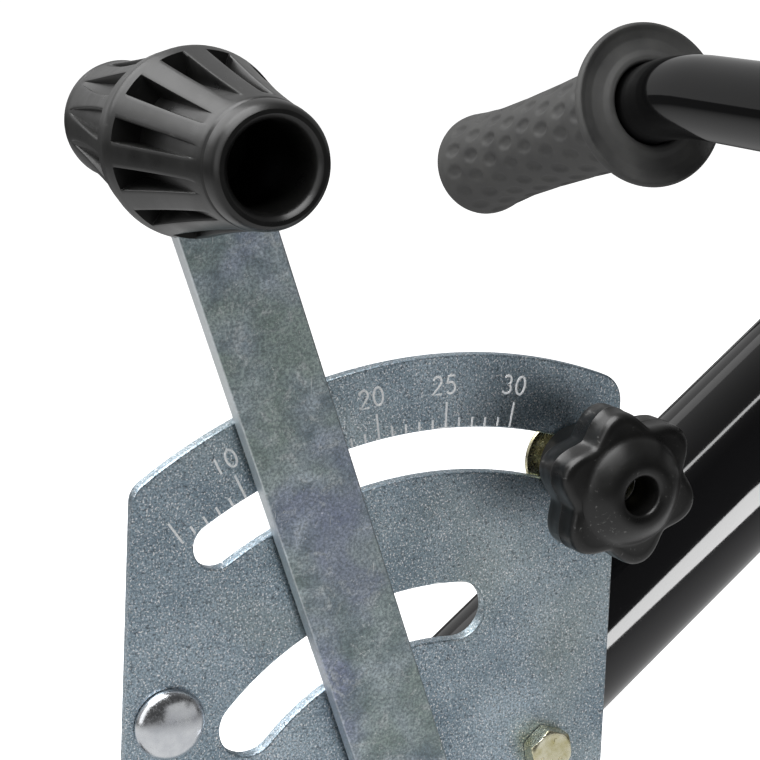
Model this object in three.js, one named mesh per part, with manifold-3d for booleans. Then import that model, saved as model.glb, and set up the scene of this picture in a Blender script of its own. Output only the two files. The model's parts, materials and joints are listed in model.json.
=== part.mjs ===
// Graduated control lever on the handle of a walk-behind machine: a tube that rises from a foot flange to a
// handlebar, with a slotted quadrant plate, a lever with a T-grip, a control rod and a star-knob stop.
//
// The quadrant frame is where most pieces are drawn: x right, y up and z out of the plate's front face, with
// the origin where the lever's pivot axis meets that face. The exported group turns it upright (+Z up) and
// moves the origin to the centre of the foot flange's underside. All lengths are in millimetres.
import * as THREE from 'three';
import { mergeVertices } from 'three/addons/utils/BufferGeometryUtils.js';
import Module from 'manifold-3d';

const wasm = await Module();
wasm.setup();

// ---- Driving dimensions ----
const GAP = 0.3; // between pieces that touch
const RUNNING = 0.3; // radial clearance round a pin or bolt
const degrees = THREE.MathUtils.degToRad;

const PLATE = {
  thick: 3,
  topRadius: 116,
  bottom: -32,
  left: { x: -71.8, lean: 0.0255, fillet: 5 },
  right: { x: 45.8, lean: -0.0114, fillet: 7 },
  bottomFillet: 12,
};
const STOP_SLOT = { inner: 90.15, outer: 100, from: degrees(68.2), to: degrees(122.75) };
const LINK_SLOT = { inner: 52, outer: 65.14, from: degrees(84.7), to: degrees(138) };

const TUBE = { angle: degrees(38.74), radius: 20.5, wall: 2, z: -25, bottomLength: 200, topLength: 226 };
const FOOT = { top: -119, thick: 6, width: 110, depth: 80, holeRadius: 4.5, holeX: 43, holeZ: 30 };
const GUSSET = { thick: 5, run: 22 };

const BAR = {
  radius: 14, wall: 2, half: 322, reach: 243,
  straight: 147, bendRadius: 120, drop: degrees(16.4), tilt: degrees(13.6),
};
const GRIP = { start: 182, length: 143, guardRadius: 28.9, guardThick: 5, endWall: 2 };
const GRIP_WAIST = [
  [7, 21.2], [14, 20], [30, 19.2], [52, 18.6], [80, 18.3], [104, 18.5], [122, 19.6], [134, 20.8],
];
const CLAMP = { radius: 21, depth: 48, earHalf: 30, earThick: 9, boltX: 24, boltZ: 15, split: 0.6 };

const M6 = { shank: 3, flats: 10, head: 4, nut: 5, thinNut: 3.2 };
const M8 = { shank: 4, flats: 13, head: 5.3, nut: 6.5, thinNut: 4.5 };
const HEX_BOLT = { x: 29.4, y: 22.3 };
const CUP_BOLT = { x: -61.4, y: 43, headRadius: 7.7, headHeight: 3.8, neck: 6 };
const SADDLE_WASHER = { radius: 10, height: 4.2, sunk: 2.6 };
const WASHER_THICK = 1.6;
const STAY = { width: 15, thick: 3, weldOffset: 9.2 };

const LEVER = { angle: degrees(109.83), width: 20, thick: 4.5, back: 1.6, tail: -14, top: 180.4 };
const BUSH_RADIUS = 6;
const PIVOT_WASHER_RADIUS = 8.5;
const T_GRIP = {
  reach: 172.4, front: 41.7, rear: -44, crown: 4, crownRadius: 18.5, ringRadius: 11.3, lip: 1.2,
  shoulder: -38, shoulderRadius: 12.6, endRadius: 9, bore: 8.1, webFront: 8.8, webRear: -5,
};
const GRIP_SCREW = { shank: 2.5, headRadius: 4.5, headHeight: 2.6 };
const LINK = { reach: 58.6, pinRadius: 4, rollerRadius: 6.2, washerRadius: 8, sleeveRadius: 5.5, tip: -41.5 };

const ROD = {
  angle: degrees(44.5), radius: 3, z: -30, from: 12, to: 156,
  eyeRadius: 6.8, eyeThick: 7, neckRadius: 5.2, neckLength: 12,
};
const FORK = { tip: 180, half: 6, gapHalf: 3.1, gapStart: 9, pinRadius: 3.1, pinInset: 7 };
const STOP = { angle: degrees(70.1), reach: 95.4, headRadius: 9.6, headHeight: 3.9, neck: 8 };
const KNOB = {
  hubRadius: 8.8, starBack: 12.5, starFront: 24, bossFront: 28.3, bossRadius: 11.3, tipRadius: 17.3,
  valley: 3.4, lobes: 6, phase: degrees(-17), bore: 4.15, insertRadius: 5.2, insertTop: 18.6,
};

// ---- Colours ----
const ZINC = { color: 0x9aa5ad, metalness: 0.9, roughness: 0.4 };
const BRIGHT_ZINC = { color: 0xc6ccd2, metalness: 1, roughness: 0.25 };
const YELLOW_ZINC = { color: 0xb8a86a, metalness: 0.95, roughness: 0.3 };
const BLACK_PAINT = { color: 0x0c0d0e, metalness: 0.1, roughness: 0.12 };
const BLACK_PLASTIC = { color: 0x1c1c1d, metalness: 0, roughness: 0.5 };
const BLACK_RUBBER = { color: 0x191a1a, metalness: 0, roughness: 0.75 };
const WHITE_NYLON = { color: 0xd8d6cc, metalness: 0, roughness: 0.5 };

// ---- Solids: closed meshes for joining and cutting ----
function signedVolume(position, index) {
  const [a, b, c] = [new THREE.Vector3(), new THREE.Vector3(), new THREE.Vector3()];
  let volume = 0;
  for (let i = 0; i < index.length; i += 3) {
    a.fromBufferAttribute(position, index[i]);
    b.fromBufferAttribute(position, index[i + 1]);
    c.fromBufferAttribute(position, index[i + 2]);
    volume += a.dot(b.cross(c)) / 6;
  }
  return volume;
}

function solid(geometry) {
  const bare = geometry.clone();
  bare.deleteAttribute('normal');
  bare.deleteAttribute('uv');
  const merged = mergeVertices(bare, 1e-4);
  const corners = Array.from(merged.index.array);
  const index = [];
  for (let i = 0; i < corners.length; i += 3) {
    const [a, b, c] = corners.slice(i, i + 3);
    if (a !== b && b !== c && a !== c) index.push(a, b, c);
  }
  if (signedVolume(merged.attributes.position, index) < 0) index.reverse();
  return new wasm.Manifold(new wasm.Mesh({
    numProp: 3,
    vertProperties: new Float32Array(merged.attributes.position.array),
    triVerts: new Uint32Array(index),
  }));
}

function geometryOf(body) {
  const mesh = body.getMesh();
  const geometry = new THREE.BufferGeometry();
  geometry.setAttribute('position', new THREE.BufferAttribute(new Float32Array(mesh.vertProperties), 3));
  geometry.setIndex(Array.from(mesh.triVerts));
  geometry.computeVertexNormals();
  return geometry;
}

const join = (first, ...rest) => rest.reduce((body, piece) => body.add(piece), first);
const cut = (first, ...tools) => tools.reduce((body, tool) => body.subtract(tool), first);

// ---- Basic shapes, all with their axis along z ----
function extrude(shape, zLow, zHigh, curveSegments = 12) {
  const depth = zHigh - zLow;
  const geometry = new THREE.ExtrudeGeometry(shape, { depth, bevelEnabled: false, curveSegments });
  return solid(geometry.translate(0, 0, zLow));
}

function cylinder(radius, zLow, zHigh, x = 0, y = 0, sides = 24) {
  const geometry = new THREE.CylinderGeometry(radius, radius, zHigh - zLow, sides);
  geometry.rotateX(Math.PI / 2).translate(x, y, (zLow + zHigh) / 2);
  return solid(geometry);
}

function box(xLow, xHigh, yLow, yHigh, zLow, zHigh) {
  const geometry = new THREE.BoxGeometry(xHigh - xLow, yHigh - yLow, zHigh - zLow);
  return solid(geometry.translate((xLow + xHigh) / 2, (yLow + yHigh) / 2, (zLow + zHigh) / 2));
}

// A turned piece from [radius, z] points that start and end on the axis.
function turned(profile, sides = 28) {
  const points = profile.map(([radius, z]) => new THREE.Vector2(radius, z));
  return solid(new THREE.LatheGeometry(points, sides).rotateX(Math.PI / 2));
}

function washer(outer, inner, zLow, zHigh, x = 0, y = 0) {
  return cut(cylinder(outer, zLow, zHigh, x, y), cylinder(inner, zLow - 1, zHigh + 1, x, y));
}

// A hexagon with its chamfer on the side that faces up z (facing 1) or down z (facing -1).
function hexagon(flats, zLow, zHigh, facing = 1) {
  const corner = flats / Math.sqrt(3);
  const chamferDrop = 0.6;
  const top = facing > 0 ? zHigh : zLow;
  const cone = turned([
    [0, top - facing * 20],
    [corner + 10, top - facing * 20],
    [corner + 0.2, top - facing * chamferDrop],
    [flats * 0.47, top],
    [0, top],
  ], 24);
  return cylinder(corner, zLow, zHigh, 0, 0, 6).intersect(cone);
}

function hexBolt(size, seatZ, tipZ) {
  return join(
    hexagon(size.flats, seatZ, seatZ + size.head),
    cylinder(size.shank, tipZ, seatZ + 0.5),
  );
}

function nut(size, zLow, height, facing = -1) {
  const hole = cylinder(size.shank + RUNNING, zLow - 1, zLow + height + 1);
  return cut(hexagon(size.flats, zLow, zLow + height, facing), hole);
}

// A cup-head bolt: domed head above or below a seat, a square neck and a round shank.
function cupBolt({ headRadius, headHeight, neck, shank, neckLength, length }, facing) {
  const dome = [[0, 0], [headRadius, 0]];
  const steps = 5;
  for (let i = 1; i <= steps; i++) {
    const angle = (i / steps) * Math.PI / 2;
    dome.push([headRadius * Math.cos(angle), facing * (0.5 + (headHeight - 0.5) * Math.sin(angle))]);
  }
  const low = Math.min(-facing * neckLength, facing * 0.3);
  const high = Math.max(-facing * neckLength, facing * 0.3);
  const tip = -facing * length;
  return join(
    turned(dome),
    box(-neck / 2, neck / 2, -neck / 2, neck / 2, low, high),
    cylinder(shank, Math.min(tip, 0), Math.max(tip, 0)),
  );
}

// ---- The scene graph ----
const object = new THREE.Group();
const quadrantFrame = new THREE.Group();
quadrantFrame.rotation.x = Math.PI / 2;
object.add(quadrantFrame);

function addPiece(parent, name, body, look) {
  const mesh = new THREE.Mesh(geometryOf(body), new THREE.MeshStandardMaterial(look));
  mesh.name = name;
  parent.add(mesh);
  return mesh;
}

// A group in the quadrant frame, turned about the pivot so that its y axis points at the given angle.
function armGroup(parent, angle, x = 0, y = 0) {
  const group = new THREE.Group();
  group.position.set(x, y, 0);
  group.rotation.z = angle - Math.PI / 2;
  parent.add(group);
  return group;
}

// The tube's frame: x across the tube and away from the foot, y towards the plate's front, z up the tube.
const along = new THREE.Vector3(Math.cos(TUBE.angle), Math.sin(TUBE.angle), 0);
const across = new THREE.Vector3(-Math.sin(TUBE.angle), Math.cos(TUBE.angle), 0);
const tubeFrame = new THREE.Group();
tubeFrame.matrixAutoUpdate = false;
tubeFrame.matrix.makeBasis(across, new THREE.Vector3(0, 0, 1), along).setPosition(0, 0, TUBE.z);
quadrantFrame.add(tubeFrame);

// ---- Quadrant plate ----
// Centre of the fillet between a leaning side edge and the top arc; side is -1 on the left and 1 on the right.
function filletCentre({ x, lean, fillet }, side) {
  const edge = new THREE.Vector2(lean, 1).normalize();
  const inward = new THREE.Vector2(-side * edge.y, side * edge.x);
  const start = new THREE.Vector2(x, 0).addScaledVector(inward, fillet);
  const reach = PLATE.topRadius - fillet;
  const run = start.dot(edge);
  const rise = -run + Math.sqrt(run * run - start.lengthSq() + reach * reach);
  return { centre: start.addScaledVector(edge, rise), outward: inward.negate().angle() };
}

function bottomFilletCentre({ x, lean }, side) {
  const y = PLATE.bottom + PLATE.bottomFillet;
  return new THREE.Vector2(x + lean * y - side * PLATE.bottomFillet, y);
}

function arcSlot({ inner, outer, from, to }) {
  const middle = (inner + outer) / 2;
  const half = (outer - inner) / 2;
  const slot = new THREE.Path();
  slot.absarc(0, 0, outer, from, to, false);
  slot.absarc(middle * Math.cos(to), middle * Math.sin(to), half, to, to + Math.PI, false);
  slot.absarc(0, 0, inner, to, from, true);
  const [x, y] = [middle * Math.cos(from), middle * Math.sin(from)];
  slot.absarc(x, y, half, from + Math.PI, from + 2 * Math.PI, false);
  return slot;
}

function roundHole(x, y, radius) {
  const hole = new THREE.Path();
  hole.absarc(x, y, radius, 0, 2 * Math.PI, false);
  return hole;
}

function squareHole(x, y, side) {
  const half = side / 2;
  return new THREE.Path([
    new THREE.Vector2(x - half, y - half), new THREE.Vector2(x + half, y - half),
    new THREE.Vector2(x + half, y + half), new THREE.Vector2(x - half, y + half),
  ]);
}

function quadrantPlate() {
  const left = filletCentre(PLATE.left, -1);
  const right = filletCentre(PLATE.right, 1);
  const lowLeft = bottomFilletCentre(PLATE.left, -1);
  const lowRight = bottomFilletCentre(PLATE.right, 1);
  const shape = new THREE.Shape();
  shape.absarc(left.centre.x, left.centre.y, PLATE.left.fillet, left.outward, left.centre.angle(), true);
  shape.absarc(0, 0, PLATE.topRadius, left.centre.angle(), right.centre.angle(), true);
  const rightEdge = right.outward - (right.outward > Math.PI ? 2 * Math.PI : 0);
  shape.absarc(right.centre.x, right.centre.y, PLATE.right.fillet, right.centre.angle(), rightEdge, true);
  shape.absarc(lowRight.x, lowRight.y, PLATE.bottomFillet, 0, -Math.PI / 2, true);
  shape.absarc(lowLeft.x, lowLeft.y, PLATE.bottomFillet, -Math.PI / 2, -Math.PI, true);
  shape.holes = [
    arcSlot(STOP_SLOT),
    arcSlot(LINK_SLOT),
    roundHole(0, 0, M8.shank + RUNNING),
    roundHole(HEX_BOLT.x, HEX_BOLT.y, M6.shank + RUNNING),
    squareHole(CUP_BOLT.x, CUP_BOLT.y, CUP_BOLT.neck + 2 * RUNNING),
  ];
  return extrude(shape, -PLATE.thick, 0);
}

// ---- Main tube, foot and stay ----
const tubeFront = TUBE.z + TUBE.radius; // z of the tube's face towards the plate
const tubeRear = TUBE.z - TUBE.radius;
const rearWasherFace = tubeRear - (SADDLE_WASHER.height - SADDLE_WASHER.sunk);
const footX = FOOT.top / Math.tan(TUBE.angle);

function intoTubeFrame(body) {
  return body.transform(new THREE.Matrix4().copy(tubeFrame.matrix).invert().elements);
}

function mainTube() {
  const tube = cut(
    cylinder(TUBE.radius, -TUBE.bottomLength - TUBE.radius * 2, TUBE.topLength, 0, 0, 48),
    cylinder(TUBE.radius - TUBE.wall, -TUBE.bottomLength * 2, TUBE.topLength + 1, 0, 0, 40),
  );
  const belowFoot = box(footX - 200, footX + 200, FOOT.top - 300, FOOT.top + GAP, TUBE.z - 50, TUBE.z + 50);
  const pivotHole = cylinder(M8.shank + RUNNING, tubeRear - 5, tubeFront + 5);
  const hexHole = cylinder(M6.shank + RUNNING, tubeRear - 5, tubeFront + 5, HEX_BOLT.x, HEX_BOLT.y);
  return cut(tube, ...[belowFoot, pivotHole, hexHole].map(intoTubeFrame));
}

function footFlange() {
  const half = FOOT.width / 2;
  const deep = FOOT.depth / 2;
  let flange = box(footX - half, footX + half, FOOT.top - FOOT.thick, FOOT.top, TUBE.z - deep, TUBE.z + deep);
  for (const x of [footX - FOOT.holeX, footX + FOOT.holeX]) {
    for (const z of [TUBE.z - FOOT.holeZ, TUBE.z + FOOT.holeZ]) {
      const hole = cylinder(FOOT.holeRadius, -FOOT.thick - 1, FOOT.thick + 1, 0, 0, 20);
      flange = cut(flange, hole.rotate([90, 0, 0]).translate([x, FOOT.top, z]));
    }
  }
  return flange;
}

// A rib in the sharp corner between the foot and the underside of the tube.
function footGusset() {
  const heel = footX + TUBE.radius / Math.sin(TUBE.angle) + GAP / Math.sin(TUBE.angle);
  const inset = 1.5;
  const base = FOOT.top + GAP;
  const rib = new THREE.Shape([
    new THREE.Vector2(heel + inset, base),
    new THREE.Vector2(heel + GUSSET.run, base),
    new THREE.Vector2(heel + GUSSET.run, base + GUSSET.run * Math.tan(TUBE.angle) - GAP),
    new THREE.Vector2(heel + inset, base + inset * Math.tan(TUBE.angle) - GAP),
  ]);
  return extrude(rib, TUBE.z - GUSSET.thick / 2, TUBE.z + GUSSET.thick / 2);
}

// The strap that carries the plate's left side, welded to the front of the tube below the plate.
function stayStrap() {
  const half = STAY.width / 2;
  const weldLine = (x) => (STAY.weldOffset + Math.sin(TUBE.angle) * x) / Math.cos(TUBE.angle);
  const strap = new THREE.Shape();
  strap.absarc(CUP_BOLT.x, CUP_BOLT.y, half, 0, Math.PI, false);
  strap.lineTo(CUP_BOLT.x - half, weldLine(CUP_BOLT.x - half));
  strap.lineTo(CUP_BOLT.x + half, weldLine(CUP_BOLT.x + half));
  strap.holes = [roundHole(CUP_BOLT.x, CUP_BOLT.y, M6.shank + RUNNING)];
  const front = -PLATE.thick - GAP;
  return extrude(strap, front - STAY.thick, front, 8);
}

// A washer that is flat on one side and hollowed to sit on the tube on the other.
function saddleWasher(x, y, holeRadius, side) {
  const seat = side > 0 ? -PLATE.thick - GAP : rearWasherFace;
  const far = seat - side * SADDLE_WASHER.height;
  const disc = washer(SADDLE_WASHER.radius, holeRadius, Math.min(seat, far), Math.max(seat, far), x, y);
  const hollow = cylinder(TUBE.radius + GAP, -80, 80, 0, 0, 48);
  return cut(disc, hollow.transform(tubeFrame.matrix.elements));
}

// ---- Handlebar ----
// The centre line, by length from the middle: straight, then bent down, then straight under the grip. The bar
// is turned in its clamp by the tilt, which swings the bent ends away from the foot.
class HandlebarCurve extends THREE.Curve {
  pointAt(length) {
    const side = Math.sign(length) || 1;
    const distance = Math.abs(length);
    const arc = Math.min(Math.max(distance - BAR.straight, 0), BAR.bendRadius * BAR.drop);
    const angle = arc / BAR.bendRadius;
    const beyond = Math.max(distance - BAR.straight - BAR.bendRadius * BAR.drop, 0);
    const out = Math.min(distance, BAR.straight) + BAR.bendRadius * Math.sin(angle) + beyond * Math.cos(angle);
    const down = BAR.bendRadius * (1 - Math.cos(angle)) + beyond * Math.sin(angle);
    const centre = along.clone().multiplyScalar(BAR.reach);
    const x = centre.x + down * Math.sin(BAR.tilt);
    return new THREE.Vector3(x, centre.y - down * Math.cos(BAR.tilt), TUBE.z + side * out);
  }

  getPoint(t) {
    return this.pointAt((t - 0.5) * 2 * BAR.half);
  }
}
const handlebarCurve = new HandlebarCurve();

function handlebar() {
  const ring = new THREE.Shape();
  ring.absarc(0, 0, BAR.radius, 0, 2 * Math.PI, false);
  ring.holes = [roundHole(0, 0, BAR.radius - BAR.wall)];
  const settings = { steps: 40, curveSegments: 10, bevelEnabled: false, extrudePath: handlebarCurve };
  return solid(new THREE.ExtrudeGeometry(ring, settings));
}

// A closed-ended grip with a hand guard and a waist; its axis runs outwards from the guard.
function handGrip() {
  const { length, guardRadius, guardThick, endWall } = GRIP;
  const bore = BAR.radius + RUNNING;
  const endRadius = GRIP_WAIST.at(-1)[1];
  return turned([
    [0, length],
    [endRadius - 6, length],
    [endRadius - 2, length - 1.8],
    [endRadius, length - 5.5],
    ...GRIP_WAIST.map(([z, radius]) => [radius, z]).reverse(),
    [guardRadius - 1, guardThick],
    [guardRadius, guardThick / 2],
    [guardRadius - 1, 0],
    [bore, 0],
    [bore, length - endWall],
    [0, length - endWall],
  ]);
}

function gripMatrix(side) {
  const start = handlebarCurve.pointAt(side * GRIP.start);
  const end = handlebarCurve.pointAt(side * (GRIP.start + GRIP.length));
  const outward = end.clone().sub(start).normalize();
  const up = new THREE.Vector3().crossVectors(outward, new THREE.Vector3(1, 0, 0)).normalize();
  const right = new THREE.Vector3().crossVectors(up, outward);
  return new THREE.Matrix4().makeBasis(right, up, outward).setPosition(start);
}

// The clamp is drawn in the tube's frame. Its bar lies along y, and it is split across the bar's axis.
function clampHalf(isCap) {
  const { radius, depth, earHalf, earThick, boltX, boltZ, split } = CLAMP;
  const middle = BAR.reach;
  const deep = depth / 2;
  const barAlongY = (r, half) => {
    return cylinder(r, -half, half, 0, 0, 40).rotate([90, 0, 0]).translate([0, 0, middle]);
  };
  const low = isCap ? middle + split : TUBE.topLength + GAP;
  const high = isCap ? middle + radius + 5 : middle - split;
  const earLow = isCap ? low : high - earThick;
  const ears = box(-earHalf, earHalf, -deep, deep, earLow, earLow + earThick);
  const core = isCap
    ? barAlongY(radius, deep).intersect(box(-radius, radius, -deep, deep, low, high))
    : box(-radius, radius, -deep, deep, low, high);
  const holes = [];
  for (const x of [-boltX, boltX]) {
    for (const y of [-boltZ, boltZ]) {
      holes.push(cylinder(M6.shank + RUNNING, middle - 40, middle + 40, x, y, 16));
    }
  }
  return cut(join(core, ears), barAlongY(BAR.radius + RUNNING, deep + 5), ...holes);
}

// ---- Lever ----
function leverBar() {
  const half = LEVER.width / 2;
  const shape = new THREE.Shape();
  shape.moveTo(half, LEVER.top);
  shape.lineTo(-half, LEVER.top);
  shape.lineTo(-half, LEVER.tail + half);
  shape.absarc(0, LEVER.tail + half, half, Math.PI, 2 * Math.PI, false);
  shape.holes = [
    roundHole(0, 0, BUSH_RADIUS + RUNNING),
    roundHole(0, T_GRIP.reach, GRIP_SCREW.shank + RUNNING),
  ];
  return extrude(shape, LEVER.back, LEVER.back + LEVER.thick, 10);
}

// The outside of the T-grip between its shoulder and its ring: two hollow-sided cones that meet at the crown.
function tGripOutline(z) {
  const { front, crown, crownRadius, ringRadius, shoulder, shoulderRadius } = T_GRIP;
  const share = (z - crown) / ((z > crown ? front : shoulder) - crown);
  const end = z > crown ? ringRadius : shoulderRadius;
  return end + (crownRadius - end) * Math.pow(1 - share, 1.3);
}

function tGripProfile() {
  const { front, rear, shoulder, shoulderRadius, endRadius, crown, lip } = T_GRIP;
  const profile = [[0, rear], [endRadius, rear]];
  const roundSteps = 3;
  for (let i = 1; i < roundSteps; i++) {
    const turn = (i / roundSteps) * Math.PI / 2;
    const radius = endRadius + (shoulderRadius - endRadius) * Math.sin(turn);
    profile.push([radius, shoulder + (rear - shoulder) * Math.cos(turn)]);
  }
  const steps = 5;
  for (const [from, to] of [[shoulder, crown], [crown, front - lip]]) {
    for (let i = from === crown ? 1 : 0; i <= steps; i++) {
      const z = from + (i / steps) * (to - from);
      profile.push([tGripOutline(z), z]);
    }
  }
  profile.push([T_GRIP.ringRadius - lip, front], [0, front]);
  return profile;
}

function tGrip() {
  const { reach, front, rear, bore, webFront, webRear } = T_GRIP;
  const half = LEVER.width / 2 + GAP;
  const body = cut(
    turned(tGripProfile(), 32),
    cylinder(bore, webFront, front + 1),
    cylinder(bore + 0.6, rear - 1, webRear),
    box(-half, half, -40, LEVER.top - reach + GAP, LEVER.back - GAP, LEVER.back + LEVER.thick + GAP),
    cylinder(GRIP_SCREW.shank + RUNNING, webRear + 1.5, webFront + 1, 0, 0, 16),
  );
  return body.translate([0, reach, 0]);
}

function gripScrew() {
  const { shank, headRadius, headHeight } = GRIP_SCREW;
  const seat = T_GRIP.webFront + GAP;
  const top = seat + headHeight;
  const rim = [[headRadius, seat], [headRadius, top - 1], [headRadius - 1.3, top]];
  const head = turned([[0, seat], ...rim, [0, top]], 24);
  const body = join(head, cylinder(shank, T_GRIP.webRear + 2, seat + 0.5, 0, 0, 16));
  return body.translate([0, T_GRIP.reach, 0]);
}

// ---- Control rod, drawn with y down the rod from the link pin ----
function alongY(radius, yLow, yHigh, sides = 24) {
  return cylinder(radius, yLow, yHigh, 0, 0, sides).rotate([-90, 0, 0]).translate([0, 0, ROD.z]);
}

function rodEye() {
  const half = ROD.eyeThick / 2;
  const neckStart = ROD.eyeRadius + 2;
  const neckEnd = ROD.from + ROD.neckLength;
  return cut(
    join(
      cylinder(ROD.eyeRadius, ROD.z - half, ROD.z + half),
      box(-ROD.neckRadius, ROD.neckRadius, 3, neckStart + 1, ROD.z - half, ROD.z + half),
      alongY(ROD.neckRadius, neckStart, neckEnd),
    ),
    alongY(ROD.radius + RUNNING, ROD.from, neckEnd + 1),
    cylinder(LINK.pinRadius + RUNNING, ROD.z - 12, ROD.z + 12),
  );
}

function rodFork() {
  const { tip, half, gapHalf, gapStart, pinRadius, pinInset } = FORK;
  const neckStart = ROD.to - ROD.neckLength + 1;
  const block = box(-half, half, ROD.to + 2, tip, ROD.z - half, ROD.z + half);
  const gap = box(-half - 1, half + 1, ROD.to + gapStart, tip + 1, ROD.z - gapHalf, ROD.z + gapHalf);
  return cut(
    join(alongY(ROD.neckRadius, neckStart, ROD.to + 3), block),
    alongY(ROD.radius + RUNNING, neckStart - 1, ROD.to + GAP),
    gap,
    cylinder(pinRadius, ROD.z - half - 1, ROD.z + half + 1, 0, tip - pinInset, 20),
  );
}

function rodNut(yLow) {
  return nut(M6, 0, M6.thinNut).rotate([-90, 0, 0]).translate([0, yLow, ROD.z]);
}

// ---- Stop and its star knob ----
function starOutline() {
  const points = [];
  const steps = 72;
  for (let i = 0; i < steps; i++) {
    const angle = (i / steps) * 2 * Math.PI;
    const wave = (1 + Math.cos(KNOB.lobes * (angle - KNOB.phase))) / 2;
    const radius = KNOB.tipRadius - KNOB.valley * (1 - Math.pow(wave, 0.8));
    points.push(new THREE.Vector2(radius * Math.cos(angle), radius * Math.sin(angle)));
  }
  return new THREE.Shape(points);
}

function starKnob() {
  const hub = cylinder(KNOB.hubRadius, 0.4, KNOB.starBack + 1);
  const boss = turned([
    [0, KNOB.starFront - 1],
    [KNOB.bossRadius + 0.5, KNOB.starFront - 1],
    [KNOB.bossRadius, KNOB.starFront],
    [KNOB.bore + 2, KNOB.bossFront],
    [0, KNOB.bossFront],
  ]);
  return cut(
    join(hub, extrude(starOutline(), KNOB.starBack, KNOB.starFront), boss),
    cylinder(KNOB.bore, 1, KNOB.bossFront + 1),
    cylinder(KNOB.insertRadius + GAP, 0, KNOB.insertTop + GAP),
  );
}

// ---- Assembly ----
function addFrame() {
  addPiece(tubeFrame, 'main_tube', mainTube(), BLACK_PAINT);
  addPiece(quadrantFrame, 'foot_flange', footFlange(), BLACK_PAINT);
  addPiece(quadrantFrame, 'foot_gusset', footGusset(), BLACK_PAINT);
  addPiece(quadrantFrame, 'stay_strap', stayStrap(), BLACK_PAINT);
  addPiece(tubeFrame, 'clamp_saddle', clampHalf(false), BLACK_PAINT);
  addPiece(tubeFrame, 'clamp_cap', clampHalf(true), BLACK_PAINT);
  addPiece(quadrantFrame, 'handlebar', handlebar(), BLACK_PAINT);
  addPiece(quadrantFrame, 'quadrant_plate', quadrantPlate(), ZINC);

  const seat = BAR.reach + CLAMP.split + CLAMP.earThick + GAP;
  let count = 0;
  for (const x of [-CLAMP.boltX, CLAMP.boltX]) {
    for (const y of [-CLAMP.boltZ, CLAMP.boltZ]) {
      count += 1;
      const bolt = hexBolt(M6, seat, BAR.reach - 13).translate([x, y, 0]);
      addPiece(tubeFrame, `clamp_bolt_${count}`, bolt, BRIGHT_ZINC);
    }
  }
  for (const [name, side] of [['grip_near', 1], ['grip_far', -1]]) {
    addPiece(quadrantFrame, name, handGrip().transform(gripMatrix(side).elements), BLACK_RUBBER);
  }
}

function addPlateFasteners() {
  const rearSeat = rearWasherFace - GAP;
  const atHex = [HEX_BOLT.x, HEX_BOLT.y, 0];
  const hexTip = rearSeat - M6.nut - 3;
  addPiece(quadrantFrame, 'plate_bolt', hexBolt(M6, GAP, hexTip).translate(atHex), YELLOW_ZINC);
  addPiece(quadrantFrame, 'plate_bolt_nut', nut(M6, rearSeat - M6.nut, M6.nut).translate(atHex), YELLOW_ZINC);
  const washers = [['plate_bolt', HEX_BOLT.x, HEX_BOLT.y, M6], ['pivot', 0, 0, M8]];
  for (const [name, x, y, size] of washers) {
    for (const [place, side] of [['front', 1], ['rear', -1]]) {
      const body = saddleWasher(x, y, size.shank + RUNNING, side);
      addPiece(quadrantFrame, `${name}_saddle_${place}`, body, BLACK_PLASTIC);
    }
  }

  const cup = cupBolt({ ...CUP_BOLT, shank: M6.shank, neckLength: PLATE.thick, length: 14 }, 1);
  addPiece(quadrantFrame, 'cup_bolt', cup.translate([CUP_BOLT.x, CUP_BOLT.y, GAP]), BRIGHT_ZINC);
  const cupNutTop = -PLATE.thick - STAY.thick - 2 * GAP;
  const cupNut = nut(M6, cupNutTop - M6.nut, M6.nut).translate([CUP_BOLT.x, CUP_BOLT.y, 0]);
  addPiece(quadrantFrame, 'cup_bolt_nut', cupNut, BRIGHT_ZINC);

  const leverFront = LEVER.back + LEVER.thick;
  const headSeat = leverFront + WASHER_THICK + 3 * GAP;
  addPiece(quadrantFrame, 'pivot_bolt', hexBolt(M8, headSeat, rearSeat - M8.nut - 3), BRIGHT_ZINC);
  addPiece(quadrantFrame, 'pivot_nut', nut(M8, rearSeat - M8.nut, M8.nut), BRIGHT_ZINC);
  const spacer = washer(8, M8.shank + RUNNING, GAP, LEVER.back - GAP);
  addPiece(quadrantFrame, 'pivot_spacer', spacer, WHITE_NYLON);
}

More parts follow.
